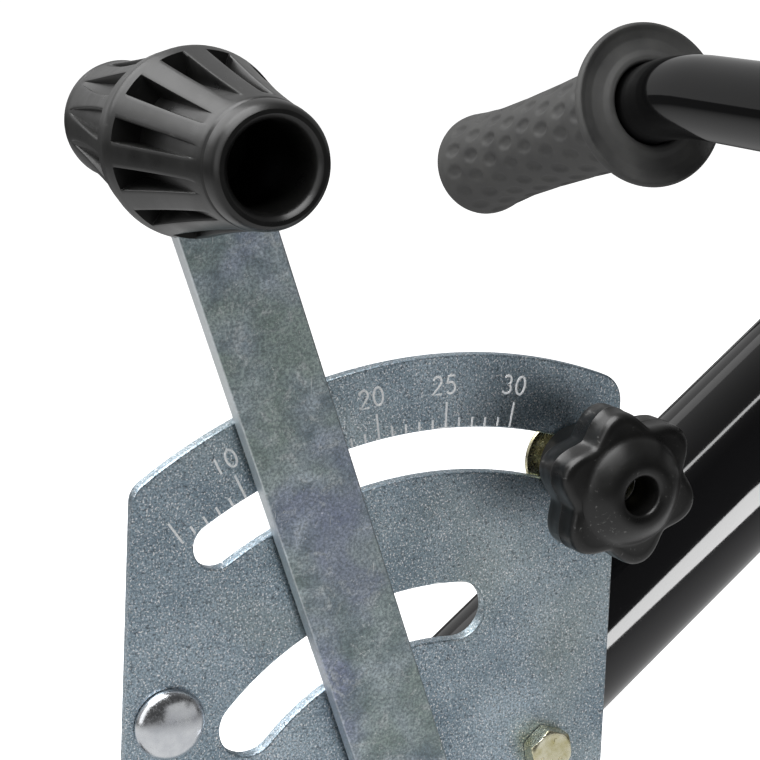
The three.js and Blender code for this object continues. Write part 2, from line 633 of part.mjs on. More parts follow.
function addLever() {
  const arm = armGroup(quadrantFrame, LEVER.angle);
  const leverFront = LEVER.back + LEVER.thick;
  addPiece(arm, 'lever_bar', leverBar(), ZINC);
  const bush = washer(BUSH_RADIUS, M8.shank + RUNNING, LEVER.back, leverFront + GAP);
  addPiece(arm, 'pivot_bush', bush, WHITE_NYLON);
  const coverBack = leverFront + 2 * GAP;
  const cover = washer(PIVOT_WASHER_RADIUS, M8.shank + RUNNING, coverBack, coverBack + WASHER_THICK);
  addPiece(arm, 'pivot_washer', cover, BRIGHT_ZINC);
  addPiece(arm, 'lever_grip', tGrip(), BLACK_PLASTIC);
  addPiece(arm, 'lever_grip_screw', gripScrew(), BRIGHT_ZINC);

  const pin = cylinder(LINK.pinRadius, LINK.tip, LEVER.back - GAP, 0, LINK.reach);
  const ring = (radius, low, high) => washer(radius, LINK.pinRadius + RUNNING, low, high, 0, LINK.reach);
  const washerFront = -PLATE.thick - 2 * GAP;
  const washerRear = washerFront - WASHER_THICK;
  const eyeFront = ROD.z + ROD.eyeThick / 2 + GAP;
  const eyeRear = ROD.z - ROD.eyeThick / 2 - GAP;
  const nutFront = eyeRear - WASHER_THICK - GAP;
  const stack = [
    ['link_roller', ring(LINK.rollerRadius, washerFront + GAP, LEVER.back - 2 * GAP), WHITE_NYLON],
    ['link_washer', ring(LINK.washerRadius, washerRear, washerFront), ZINC],
    ['link_sleeve', ring(LINK.sleeveRadius, eyeFront, washerRear - GAP), ZINC],
    ['link_end_washer', ring(M8.flats / 2 + 1.5, eyeRear - WASHER_THICK, eyeRear), ZINC],
    ['link_nut', nut(M8, nutFront - M8.thinNut, M8.thinNut).translate([0, LINK.reach, 0]), ZINC],
  ];
  addPiece(arm, 'link_pin', pin, BRIGHT_ZINC);
  for (const [name, body, look] of stack) addPiece(arm, name, body, look);
}

function addControlRod() {
  const x = LINK.reach * Math.cos(LEVER.angle);
  const y = LINK.reach * Math.sin(LEVER.angle);
  const arm = armGroup(quadrantFrame, ROD.angle + Math.PI, x, y);
  addPiece(arm, 'rod_eye', rodEye(), BRIGHT_ZINC);
  addPiece(arm, 'rod_lock_nut_upper', rodNut(ROD.from + ROD.neckLength + GAP), BRIGHT_ZINC);
  addPiece(arm, 'control_rod', alongY(ROD.radius, ROD.from + GAP, ROD.to), ZINC);
  const lowerNut = rodNut(ROD.to - ROD.neckLength + 1 - GAP - M6.thinNut);
  addPiece(arm, 'rod_lock_nut_lower', lowerNut, BRIGHT_ZINC);
  addPiece(arm, 'rod_fork', rodFork(), BRIGHT_ZINC);
}

function addStop() {
  const arm = armGroup(quadrantFrame, STOP.angle);
  const length = PLATE.thick + KNOB.insertTop;
  const bolt = cupBolt({ ...STOP, shank: M8.shank, neckLength: PLATE.thick - 0.5, length }, -1);
  addPiece(arm, 'stop_bolt', bolt.translate([0, STOP.reach, -PLATE.thick - GAP]), YELLOW_ZINC);
  const insert = washer(KNOB.insertRadius, M8.shank + 0.2, 0.8, KNOB.insertTop, 0, STOP.reach);
  addPiece(arm, 'knob_insert', insert, BRIGHT_ZINC);
  // The knob's lobes are measured from the quadrant's x axis, so the arm's own turn is taken back out.
  const turn = THREE.MathUtils.radToDeg(Math.PI / 2 - STOP.angle);
  addPiece(arm, 'star_knob', starKnob().rotate([0, 0, turn]).translate([0, STOP.reach, 0]), BLACK_PLASTIC);
}

addFrame();
addPlateFasteners();
addLever();
addControlRod();
addStop();
object.position.set(-footX, TUBE.z, FOOT.thick - FOOT.top);

export default object;
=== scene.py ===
"""Looks for a graduated control lever, its quadrant plate and handlebar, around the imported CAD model.

Lengths are in millimetres in the quadrant frame, as in the CAD source: x right, y up, z out of the plate's
front face, with the origin where the lever's pivot axis meets that face. Matrices such as QUADRANT and TUBE
turn them into metres in the row frame.
"""

import json
import math

import bmesh
import bpy
from mathutils import Matrix, Vector

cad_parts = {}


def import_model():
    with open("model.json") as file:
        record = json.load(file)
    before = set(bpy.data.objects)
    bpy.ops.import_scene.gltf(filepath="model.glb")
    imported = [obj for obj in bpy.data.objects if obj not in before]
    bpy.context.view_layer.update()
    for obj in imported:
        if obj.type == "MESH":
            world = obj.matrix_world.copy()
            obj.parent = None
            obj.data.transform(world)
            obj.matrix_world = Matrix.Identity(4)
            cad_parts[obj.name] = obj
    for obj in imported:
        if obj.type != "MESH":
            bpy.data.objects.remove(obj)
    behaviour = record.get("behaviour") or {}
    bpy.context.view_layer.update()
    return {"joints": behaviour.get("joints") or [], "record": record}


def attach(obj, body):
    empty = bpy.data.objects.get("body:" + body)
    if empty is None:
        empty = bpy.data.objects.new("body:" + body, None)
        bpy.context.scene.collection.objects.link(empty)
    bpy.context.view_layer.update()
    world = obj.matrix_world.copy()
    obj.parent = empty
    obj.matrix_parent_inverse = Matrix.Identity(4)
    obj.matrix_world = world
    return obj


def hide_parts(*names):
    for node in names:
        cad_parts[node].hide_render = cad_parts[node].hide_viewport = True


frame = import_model()
RECORD = frame["record"]
SLOT_OF = {part["node"]: part["material_slot"] for part in RECORD["subparts"]}
BODY_OF = {node: body for body, nodes in RECORD["behaviour"]["bodies"].items() for node in nodes}
PIVOT = next(joint["pos_m"] for joint in frame["joints"] if joint["name"] == "lever_swing")

# ---- Driving dimensions ----
MM = 0.001
GAP = 0.3
TURN = 2 * math.pi
rad = math.radians

PLATE_THICK = 3
PLATE_TOP_RADIUS = 116
PLATE_BOTTOM = -32
PLATE_LEFT = dict(x=-71.8, lean=0.0255, fillet=5, side=-1)
PLATE_RIGHT = dict(x=45.8, lean=-0.0114, fillet=7, side=1)
PLATE_BOTTOM_FILLET = 12
STOP_SLOT = dict(inner=90.15, outer=100, start=rad(68.2), end=rad(122.75))
LINK_SLOT = dict(inner=52, outer=65.14, start=rad(84.7), end=rad(138))

TUBE_ANGLE = rad(38.74)
TUBE_RADIUS = 20.5
TUBE_WALL = 2
TUBE_Z = -25
TUBE_TOP = 226
TUBE_REAR = TUBE_Z - TUBE_RADIUS
FOOT_TOP = -119
FOOT_THICK = 6
FOOT_HALF = (55, 40)
FOOT_X = FOOT_TOP / math.tan(TUBE_ANGLE)

BAR_RADIUS = 14
BAR_REACH = 243
BAR_STRAIGHT = 147
BAR_BEND = 120
BAR_DROP = rad(16.4)
BAR_TILT = rad(13.6)
BAR_HALF = 322
GRIP_START = 182
GRIP_LENGTH = 143
GUARD_RADIUS = 28.9
GRIP_WAIST = [(7, 21.2), (14, 20), (30, 19.2), (52, 18.6), (80, 18.3), (104, 18.5), (122, 19.6),
              (134, 20.8)]

M6 = dict(shank=3, flats=10, head=4, nut=5, pitch=1.0)
M8 = dict(shank=4, flats=13, head=5.3, nut=6.5, pitch=1.25)
M6_HOLE = 3.3
M8_HOLE = 4.3
THIN_M8 = 4.5
THIN_M6 = 3.2
NUT_SEAT = TUBE_REAR - 1.9
NUT_SPARE = 3
HEX_BOLT = (29.4, 22.3)
CUP_BOLT = (-61.4, 43)
STAY_THICK = 3

LEVER_ANGLE = rad(109.83)
LEVER_BACK = 1.6
LEVER_FRONT = 6.1
LEVER_HALF = 10
LEVER_TAIL = -14
LEVER_TOP = 180.4
WASHER_THICK = 1.6
T_REACH = 172.4
T_FRONT = 41.7
T_CROWN = 4
T_CROWN_RADIUS = 18.5
T_RING_RADIUS = 11.3
T_SHOULDER = -38
T_SHOULDER_RADIUS = 12.6
LINK_REACH = 58.6
LINK_TIP = -41.5
ROD_Z = -30
ROD_ANGLE = rad(44.5)
ROD_TOP = 12
ROD_END = 156
EYE_HALF = 3.5
EYE_RADIUS = 6.8
NECK_RADIUS = 5.2
NECK_LENGTH = 12
FORK_NECK = 145
STOP_ANGLE = rad(70.1)
STOP_REACH = 95.4
KNOB_PHASE = rad(-17)
KNOB_DEPTH = 18.6

# ---- Places ----
ALONG = Vector((math.cos(TUBE_ANGLE), math.sin(TUBE_ANGLE), 0))
ACROSS = Vector((-math.sin(TUBE_ANGLE), math.cos(TUBE_ANGLE), 0))
OUT = Vector((0, 0, 1))
FIRST = Vector((1, 0, 0))


def shift(x=0, y=0, z=0):
    return Matrix.Translation((x, y, z))


def basis(x_axis, y_axis, z_axis, origin=(0, 0, 0)):
    """The matrix whose columns are three axes and an origin."""
    columns = [(*axis, 0) for axis in (x_axis, y_axis, z_axis)] + [(*origin, 1)]
    return Matrix(columns).transposed()


QUADRANT = Matrix.Translation(PIVOT) @ Matrix.Scale(MM, 4) @ basis((1, 0, 0), (0, 0, 1), (0, -1, 0))
TUBE = QUADRANT @ basis(ACROSS, OUT, ALONG, (0, 0, TUBE_Z))


def arm(angle, reach=0):
    """The quadrant frame turned so that y points at an angle, then moved along y."""
    return QUADRANT @ Matrix.Rotation(angle - math.pi / 2, 4, "Z") @ shift(0, reach)


LEVER = arm(LEVER_ANGLE)
LINK = arm(LEVER_ANGLE, LINK_REACH)
LINK_AT = Vector((LINK_REACH * math.cos(LEVER_ANGLE), LINK_REACH * math.sin(LEVER_ANGLE)))
# The rod's frame: z runs down the rod from the link pin.
ROD_DOWN = Vector((-math.cos(ROD_ANGLE), -math.sin(ROD_ANGLE), 0))
ROD = QUADRANT @ basis(OUT, ROD_DOWN.cross(OUT), ROD_DOWN, (LINK_AT.x, LINK_AT.y, ROD_Z))
STOP = arm(STOP_ANGLE, STOP_REACH)
STOP_AT = (STOP_REACH * math.cos(STOP_ANGLE), STOP_REACH * math.sin(STOP_ANGLE))
KNOB = QUADRANT @ shift(*STOP_AT)


# ---- Mesh building ----
def ring(radius, z, steps=64, phase=0.0):
    """A circle of points round z, or one point on the axis. radius may be a function of the angle."""
    if radius == 0:
        return [Vector((0, 0, z))]
    points = []
    for i in range(steps):
        angle = phase + TURN * i / steps
        r = radius(angle) if callable(radius) else radius
        points.append(Vector((r * math.cos(angle), r * math.sin(angle), z)))
    return points


def loft(rings, loop=False):
    """A skin through rings of points. A ring of one point closes an end; loop joins the last to the first."""
    bm = bmesh.new()
    made = [[bm.verts.new(p) for p in points] for points in rings]
    pairs = list(zip(made, made[1:]))
    if loop:
        pairs.append((made[-1], made[0]))
    for low, high in pairs:
        count = max(len(low), len(high))
        for i in range(count):
            j = (i + 1) % count
            corners = (low[i % len(low)], low[j % len(low)], high[j % len(high)], high[i % len(high)])
            bm.faces.new(list(dict.fromkeys(corners)))
    bmesh.ops.recalc_face_normals(bm, faces=bm.faces)
    return bm


def soften(points, size, steps=3, closed=False):
    """Rounds the corners of a line of 2D points with small curves."""
    line = [Vector(p) for p in points]
    rounded = []
    for i, corner in enumerate(line):
        if not closed and i in (0, len(line) - 1):
            rounded.append(corner)
            continue
        back = line[i - 1] - corner
        ahead = line[(i + 1) % len(line)] - corner
        start = corner + back.normalized() * min(size, back.length * 0.45)
        end = corner + ahead.normalized() * min(size, ahead.length * 0.45)
        for k in range(steps + 1):
            t = k / steps
            rounded.append(start * (1 - t) ** 2 + corner * 2 * t * (1 - t) + end * t * t)
    return rounded


def lathe(profile, size=0.3, steps=64, loop=False):
    """Turns a line of (radius, z) points round z, with its corners rounded."""
    line = soften(profile, size, closed=loop) if size else [Vector(p) for p in profile]
    return loft([ring(max(r, 0), z, steps) for r, z in line], loop)


def arc(radius, start, end, steps=24, x=0, y=0):
    """Points along an arc from one angle to another."""
    angles = [start + (end - start) * i / steps for i in range(steps + 1)]
    return [(x + radius * math.cos(a), y + radius * math.sin(a)) for a in angles]


def hole(radius, x=0, y=0, steps=40):
    """A round hole's outline, clockwise."""
    return arc(radius, 0, -TURN, steps, x, y)


def inset(points, distance):
    """Moves a closed outline towards the material on its left."""
    moved = []
    for i, point in enumerate(points):
        before = (point - points[i - 1]).normalized()
        after = (points[(i + 1) % len(points)] - point).normalized()
        left = Vector((-before.y - after.y, before.x + after.x))
        moved.append(point + left * (distance / max(1 + before.dot(after), 0.3)))
    return moved


def without_repeats(points):
    """An outline as vectors, with points that lie on each other left out."""
    line = [Vector(p) for p in points]
    return [p for i, p in enumerate(line) if (p - line[i - 1]).length > 1e-3]


def slab(outlines, low, high, edge=0.4, steps=4):
    """A flat piece with rounded edges: an anticlockwise outline, then its holes, clockwise."""
    bm = bmesh.new()
    turns = [math.pi / 2 * k / steps for k in range(steps + 1)]
    profile = [(edge * (1 - math.sin(a)), low + edge * (1 - math.cos(a))) for a in turns]
    profile += [(edge * (1 - math.cos(a)), high - edge * (1 - math.sin(a))) for a in turns]
    caps = [[], []]
    for outline in outlines:
        points = without_repeats(outline)
        rings = [[bm.verts.new((*p, z)) for p in inset(points, d)] for d, z in profile]
        for lower, upper in zip(rings, rings[1:]):
            for i in range(len(points)):
                bm.faces.new((lower[i - 1], lower[i], upper[i], upper[i - 1]))
        for cap, loop in zip(caps, (rings[0], rings[-1])):
            cap += [bm.edges.get((loop[i - 1], loop[i])) for i in range(len(points))]
    for cap, facing in zip(caps, (-1, 1)):
        bmesh.ops.triangle_fill(bm, use_beauty=True, edges=cap, normal=(0, 0, facing))
    bmesh.ops.recalc_face_normals(bm, faces=bm.faces)
    return bm


def mesh_of(bm, name):
    mesh = bpy.data.meshes.new(name)
    bm.to_mesh(mesh)
    bm.free()
    return mesh


def combine(first, *rest, operation="UNION"):
    """Joins solids, or cuts the rest out of the first."""
    target = bpy.data.objects.new("target", mesh_of(first, "target"))
    bpy.context.scene.collection.objects.link(target)
    tools = []
    for i, bm in enumerate(rest):
        tool = bpy.data.objects.new("tool", mesh_of(bm, "tool"))
        bpy.context.scene.collection.objects.link(tool)
        modifier = target.modifiers.new(f"combine{i}", "BOOLEAN")
        modifier.operation = operation
        modifier.solver = "EXACT"
        modifier.object = tool
        tools.append(tool)
    depsgraph = bpy.context.evaluated_depsgraph_get()
    made = bmesh.new()
    made.from_mesh(target.evaluated_get(depsgraph).to_mesh())
    bmesh.ops.remove_doubles(made, verts=made.verts, dist=1e-4)
    for obj in [target, *tools]:
        bpy.data.objects.remove(obj)
    return made


def moved(bm, matrix):
    """The same solid, moved within its frame."""
    bm.transform(matrix)
    return bm


def merged(*solids):
    """Several separate shells as one mesh."""
    mesh = bpy.data.meshes.new("merge")
    total = bmesh.new()
    for bm in solids:
        bm.to_mesh(mesh)
        bm.free()
        total.from_mesh(mesh)
    bpy.data.meshes.remove(mesh)
    return total


def piece(name, bm, place, body, slot, sharp=35, even=True):
    """One piece of the object from a solid in its own frame, riding on a body."""
    bm.transform(place)
    bmesh.ops.recalc_face_normals(bm, faces=bm.faces)
    mesh = mesh_of(bm, name)
    mesh.shade_smooth()
    mesh.set_sharp_from_angle(angle=rad(sharp))
    mesh.materials.append(MATERIALS[slot])
    obj = bpy.data.objects.new(name, mesh)
    bpy.context.scene.collection.objects.link(obj)
    if even:
        weighted = obj.modifiers.new("even_normals", "WEIGHTED_NORMAL")
        weighted.keep_sharp = True
    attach(obj, body)
    return obj


def stand_in(node, bm, place, **settings):
    """The finished piece that is shown for a CAD node."""
    obj = piece(f"{node}_fine", bm, place, BODY_OF[node], SLOT_OF[node], **settings)
    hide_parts(node)
    return obj


# ---- Materials ----
class Surface:
    """A principled material with short calls for its nodes. Texture lengths are in millimetres."""

    def __init__(self, name, color, metallic=0.0, roughness=0.5, **sockets):
        self.material = bpy.data.materials.new(name)
        self.material.use_nodes = True
        self.tree = self.material.node_tree
        self.shader = self.tree.nodes["Principled BSDF"]
        self.place = self.node("ShaderNodeTexCoord").outputs["Object"]
        self.set(self.shader, **{"Base Color": (*color, 1), "Metallic": metallic, "Roughness": roughness})
        self.set(self.shader, **{key.replace("_", " "): value for key, value in sockets.items()})

    def node(self, kind, **settings):
        made = self.tree.nodes.new(kind)
        for key, value in settings.items():
            setattr(made, key, value)
        return made

    def set(self, node, **values):
        for key, value in values.items():
            if isinstance(value, bpy.types.NodeSocket):
                self.tree.links.new(value, node.inputs[key])
            else:
                node.inputs[key].default_value = value
        return node

    def stretched(self, turn, stretch):
        """The piece's own coordinates, turned in degrees and stretched along each axis."""
        mapping = self.node("ShaderNodeMapping")
        values = {"Vector": self.place, "Rotation": [rad(a) for a in turn], "Scale": stretch}
        return self.set(mapping, **values).outputs["Vector"]

    def noise(self, size, detail=4.0, roughness=0.55, distortion=0.0, place=None):
        """Soft noise with features about this size."""
        texture = self.node("ShaderNodeTexNoise")
        values = {"Vector": place or self.place, "Scale": 1 / (size * MM), "Detail": detail}
        return self.set(texture, **values, Roughness=roughness, Distortion=distortion).outputs["Fac"]

    def spread(self, value, low, high, to_low=0.0, to_high=1.0):
        """A value stretched from one range to another, held at its ends."""
        mapper = self.node("ShaderNodeMapRange")
        ends = {"From Min": low, "From Max": high, "To Min": to_low, "To Max": to_high}
        return self.set(mapper, Value=value, **ends).outputs["Result"]

    def math(self, operation, first, second):
        made = self.node("ShaderNodeMath", operation=operation)
        for socket, value in zip(made.inputs, (first, second)):
            if isinstance(value, bpy.types.NodeSocket):
                self.tree.links.new(value, socket)
            else:
                socket.default_value = value
        return made.outputs["Value"]

    def mix(self, factor, first, second):
        """Two colours mixed by a factor."""
        made = self.node("ShaderNodeMix", data_type="RGBA")
        wanted = {0: factor, 6: first, 7: second}
        for index, value in wanted.items():
            if isinstance(value, bpy.types.NodeSocket):
                self.tree.links.new(value, made.inputs[index])
            else:
                made.inputs[index].default_value = value if index == 0 else (*value, 1)
        return made.outputs[2]

    def over(self, base, mask, share, color):
        """A colour laid over another where a mask allows it, up to a share."""
        return self.mix(self.math("MULTIPLY", mask, share), base, color)

    def bump(self, height, depth, strength=1.0, under=None):
        """A normal from a height, where depth is in millimetres."""
        made = self.node("ShaderNodeBump")
        self.set(made, Height=height, Distance=depth * MM, Strength=strength)
        if under is not None:
            self.set(made, Normal=under)
        return made.outputs["Normal"]

    def use(self, **values):
        """Connects the shader's sockets and gives the finished material."""
        self.set(self.shader, **{key.replace("_", " "): value for key, value in values.items()})
        return self.material


def zinc_plate():
    s = Surface("zinc_plate", (0.5, 0.55, 0.58), 1.0, 0.4)
    cloud = s.noise(22, 5, 0.6)
    speckle = s.noise(0.5, 3, 0.8)
    sparkle = s.spread(s.noise(0.38, 2, 0.6), 0.57, 0.66)
    pit = s.spread(s.noise(0.9, 3, 0.7), 0.34, 0.44, 1, 0)
    tint = s.spread(s.noise(34, 3, 0.5, 0.4), 0.5, 0.75)
    base = s.mix(s.spread(cloud, 0.3, 0.7), (0.29, 0.39, 0.47), (0.6, 0.73, 0.83))
    base = s.mix(s.spread(speckle, 0.38, 0.6, 0.8, 0), base, (0.085, 0.11, 0.13))
    base = s.over(base, tint, 0.25, (0.52, 0.56, 0.46))
    base = s.over(base, pit, 0.6, (0.05, 0.06, 0.07))
    base = s.over(base, sparkle, 0.95, (1.0, 1.0, 1.0))
    # Painted highlight: the rounded edges, found by pointiness, are made near white. This is partly edge wear
    # and partly a painted highlight standing in for the bright lines along the edges.
    worn = s.spread(s.node("ShaderNodeNewGeometry").outputs["Pointiness"], 0.53, 0.6)
    base = s.mix(worn, base, (0.95, 0.97, 0.98))
    rough = s.spread(s.math("ADD", cloud, speckle), 0.7, 1.3, 0.5, 0.32)
    rough = s.math("SUBTRACT", rough, s.math("MULTIPLY", worn, 0.12))
    grain = s.bump(speckle, 0.06, 0.7)
    normal = s.bump(s.noise(3.5, 3, 0.5), 0.04, 0.4, grain)
    return s.use(Base_Color=base, Roughness=rough, Normal=normal)


def zinc_lever():
    s = Surface("zinc_lever", (0.4, 0.44, 0.46), 1.0, 0.42)
    blotch = s.noise(8, 7, 0.68, 0.6)
    speckle = s.noise(0.6, 4, 0.75)
    worn = s.spread(s.noise(5, 8, 0.78, 1.2), 0.53, 0.63)
    along = s.stretched((0, 38, 0), (1, 1, 0.08))
    scratch = s.spread(s.noise(0.5, 2, 0.5, 0.0, along), 0.71, 0.76)
    fleck = s.spread(s.noise(0.9, 4, 0.8, 1.5), 0.63, 0.68)
    olive = s.spread(s.noise(18, 3, 0.5, 0.3), 0.42, 0.62)
    violet = s.spread(s.noise(23, 3, 0.5, 0.8), 0.5, 0.68)
    base = s.mix(s.spread(blotch, 0.36, 0.64), (0.24, 0.31, 0.36), (0.62, 0.71, 0.78))
    base = s.over(base, olive, 0.5, (0.4, 0.5, 0.38))
    base = s.over(base, violet, 0.5, (0.4, 0.42, 0.66))
    base = s.over(base, worn, 0.6, (0.8, 0.84, 0.85))
    base = s.mix(s.spread(speckle, 0.4, 0.62, 0.7, 0), base, (0.14, 0.165, 0.18))
    base = s.over(base, scratch, 0.5, (0.95, 0.98, 0.98))
    base = s.over(base, fleck, 0.8, (1.0, 1.0, 1.0))
    # Painted highlight: the rounded edges, found by pointiness, are lightened. This is partly edge wear and
    # partly a painted highlight along the edges.
    edge = s.spread(s.node("ShaderNodeNewGeometry").outputs["Pointiness"], 0.53, 0.6)
    base = s.over(base, edge, 0.7, (0.9, 0.93, 0.95))
    rough = s.spread(blotch, 0.3, 0.7, 0.52, 0.36)
    normal = s.bump(speckle, 0.04, 0.5, s.bump(blotch, 0.05, 0.4))
    return s.use(Base_Color=base, Roughness=rough, Normal=normal)


def small_zinc(name, color, cloud_size, fine_size, tones, rough, strength):
    """The even plating of small fasteners."""
    s = Surface(name, color, 1.0, 0.2)
    cloud = s.noise(cloud_size, 5, 0.6)
    fine = s.noise(fine_size, 3, 0.6)
    base = s.mix(s.spread(cloud, 0.3, 0.7), *tones)
    normal = s.bump(fine, 0.02, strength)
    return s.use(Base_Color=base, Roughness=s.spread(fine, 0.3, 0.7, *rough), Normal=normal)


def bright_zinc():
    tones = ((0.58, 0.6, 0.64), (0.8, 0.82, 0.84))
    return small_zinc("bright_zinc", (0.7, 0.72, 0.75), 4, 0.5, tones, (0.14, 0.3), 0.3)


def yellow_zinc():
    tones = ((0.6, 0.55, 0.3), (0.95, 0.92, 0.74))
    return small_zinc("yellow_zinc", (0.55, 0.5, 0.3), 3, 0.4, tones, (0.18, 0.36), 0.35)


def black_paint():
    s = Surface("black_paint", (0.004, 0.004, 0.0045), 0.0, 0.07)
    peel = s.noise(1.6, 2, 0.5)
    dust = s.spread(s.noise(0.5, 4, 0.7), 0.66, 0.76)
    base = s.mix(s.math("MULTIPLY", dust, 0.04), (0.004, 0.004, 0.0045), (0.3, 0.3, 0.3))
    return s.use(Base_Color=base, Roughness=s.spread(dust, 0, 1, 0.07, 0.3), Normal=s.bump(peel, 0.01, 0.2))


def black_plastic(name="black_plastic", scuffing=0.35, worn=0.13):
    s = Surface(name, (0.02, 0.02, 0.021), 0.0, 0.36)
    cloud = s.noise(9, 5, 0.6)
    grain = s.noise(0.28, 2, 0.5)
    swirl = s.stretched((20, 0, 35), (1, 0.12, 1))
    scuff = s.spread(s.noise(0.8, 5, 0.7, 0.4, swirl), 0.6, 0.72)
    patch = s.spread(s.noise(7, 3, 0.5), 0.5, 0.66)
    scuffed = s.math("MULTIPLY", s.math("MULTIPLY", scuff, patch), scuffing)
    base = s.mix(s.spread(cloud, 0.3, 0.7), (0.0045, 0.0045, 0.0045), (0.0085, 0.0085, 0.008))
    base = s.mix(scuffed, base, (worn, worn, worn * 0.97))
    rough = s.spread(cloud, 0.3, 0.7, 0.26, 0.4)
    return s.use(Base_Color=base, Roughness=rough, Normal=s.bump(grain, 0.02, 0.3))


def black_rubber():
    s = Surface("black_rubber", (0.024, 0.024, 0.024), 0.0, 0.62)
    cloud = s.noise(12, 4, 0.6)
    grain = s.noise(0.35, 3, 0.6)
    base = s.mix(s.spread(cloud, 0.3, 0.7), (0.036, 0.036, 0.036), (0.062, 0.062, 0.06))
    rough = s.spread(cloud, 0.3, 0.7, 0.55, 0.72)
    return s.use(Base_Color=base, Roughness=rough, Normal=s.bump(grain, 0.05, 0.4))


def white_nylon():
    s = Surface("white_nylon", (0.74, 0.73, 0.68), 0.0, 0.45, Subsurface_Weight=0.1)
    cloud = s.noise(5, 4, 0.6)
    base = s.mix(s.spread(cloud, 0.3, 0.7), (0.7, 0.68, 0.61), (0.78, 0.77, 0.73))
    return s.use(Base_Color=base, Normal=s.bump(s.noise(0.4, 3), 0.03, 0.3))


def etched():
    s = Surface("etched", (0.8, 0.84, 0.86), 0.0, 0.6)
    fine = s.noise(0.35, 3, 0.6)
    base = s.mix(s.spread(fine, 0.35, 0.65), (0.72, 0.76, 0.79), (1.0, 1.0, 1.0))
    return s.use(Base_Color=base, Normal=s.bump(fine, 0.04, 0.6))


MATERIALS = {
    make.__name__: make()
    for make in (zinc_plate, zinc_lever, bright_zinc, yellow_zinc, black_paint, black_plastic, black_rubber,
                 white_nylon)
}
ETCHED = etched()
WORN_PLASTIC = black_plastic("worn_plastic", 0.8, 0.3)


# ---- Fasteners ----
HEX_STEPS = 72


def hex_radius(flats, limit):
    """Radius of a hexagon at an angle, held under a limit."""
    def radius(angle):
        from_flat = (angle + rad(30)) % rad(60) - rad(30)
        return min(flats / 2 / math.cos(from_flat), limit)
    return radius


def hex_rings(flats, low, high, both=False):
    """A hexagon's sides from low to high with a chamfered top, and a chamfered bottom too if both."""
    corner = flats / math.sqrt(3)
    chamfer = 0.075 * flats
    steps = 6
    shares = [k / steps for k in range(steps + 1)]
    limits = [(corner - (corner - 0.47 * flats) * t ** 1.3, high - chamfer * (1 - t)) for t in shares]
    top = [ring(hex_radius(flats, limit), z, HEX_STEPS) for limit, z in limits]
    if both:
        ends = [(limit, low + high - z) for limit, z in reversed(limits)]
        bottom = [ring(hex_radius(flats, limit), z, HEX_STEPS) for limit, z in ends]
    else:
        bottom = [ring(hex_radius(flats, corner * 0.985), low, HEX_STEPS)]
        bottom.append(ring(hex_radius(flats, corner * 0.995), low + 0.15, HEX_STEPS))
    return bottom + top


def thread_rings(radius, pitch, low, high):
    """Rings of a helical thread with a chamfered far end at low."""
    rows = max(int((high - low) / pitch * 6), 2)
    depth = 0.55 * pitch
    made = []
    for row in range(rows + 1):
        z = high + (low - high) * row / rows
        fade = min(1.0, (high - z) / pitch)
        end = max(0.0, 1 - (z - low) / (0.8 * pitch))

        def profile(angle, z=z, fade=fade, end=end):
            share = abs(((z / pitch - angle / TURN) % 1) * 2 - 1)
            return radius - depth * fade * min(share * 1.15, 1.0) * (1 - 0.4 * end) - end * depth * 0.7

        made.append(ring(profile, z, HEX_STEPS))
    return made


def hex_bolt(size, seat, tip, thread):
    """A hexagon-head bolt whose head stands on z = seat and whose thread reaches from the tip."""
    head = hex_rings(size["flats"], seat, seat + size["head"])
    top = [ring(size["flats"] * 0.44, seat + size["head"], HEX_STEPS), ring(0, seat + size["head"])]
    shank = [
        ring(size["shank"] + 0.25, seat, HEX_STEPS),
        ring(size["shank"], seat - 0.3, HEX_STEPS),
        ring(size["shank"], tip + thread, HEX_STEPS),
    ]
    rings = list(reversed(top)) + list(reversed(head)) + shank
    rings += thread_rings(size["shank"], size["pitch"], tip, tip + thread - 0.1)
    rings.append(ring(0, tip))
    return loft(rings)


def nut(size, low, height):
    """A hexagon nut with both faces chamfered and a threaded bore."""
    outer = hex_rings(size["flats"], low, low + height, both=True)
    bore = size["shank"] + 0.12
    inner = [ring(bore + 0.5, low + height, HEX_STEPS)]
    inner += [ring(bore, low + height - 0.5, HEX_STEPS), ring(bore, low + 0.5, HEX_STEPS)]
    inner.append(ring(bore + 0.5, low, HEX_STEPS))
    return loft(outer + inner, loop=True)


def washer(outer, inner, low, high, size=0.25):
    return lathe([(inner, low), (outer, low), (outer, high), (inner, high)], size, 72, loop=True)


def saddle_washer(hole_radius, x, y, side):
    """A moulded washer: flat on the side that faces its seat, hollowed on the side that meets the tube."""
    seat = -PLATE_THICK - GAP if side > 0 else TUBE_REAR - 1.6
    rim = 10
    gap = 0.05

    def tube_face(point):
        u = Vector((point.x + x, point.y + y)).dot(ACROSS.to_2d())
        return TUBE_Z + side * (math.sqrt((TUBE_RADIUS + gap) ** 2 - u * u))

    inner = ring(hole_radius, seat)
    outer = [ring(rim - 0.5, seat), ring(rim, seat - side * 0.5)]
    far = []
    for radius in (rim, (rim + hole_radius) / 2, hole_radius):
        points = ring(radius, seat)
        far.append([Vector((p.x, p.y, tube_face(p))) for p in points])
    return loft([inner, *outer, *far], loop=True)


# ---- Quadrant plate ----
def side_fillet(side_edge):
    """Centre of the fillet between a leaning side and the top arc, and the angle that faces outwards."""
    edge = Vector((side_edge["lean"], 1)).normalized()
    inward = Vector((-edge.y, edge.x)) * side_edge["side"]
    start = Vector((side_edge["x"], 0)) + inward * side_edge["fillet"]
    reach = PLATE_TOP_RADIUS - side_edge["fillet"]
    offset = start.dot(edge)
    rise = -offset + math.sqrt(offset * offset - start.length_squared + reach * reach)
    centre = start + edge * rise
    return centre, math.atan2(-inward.y, -inward.x)


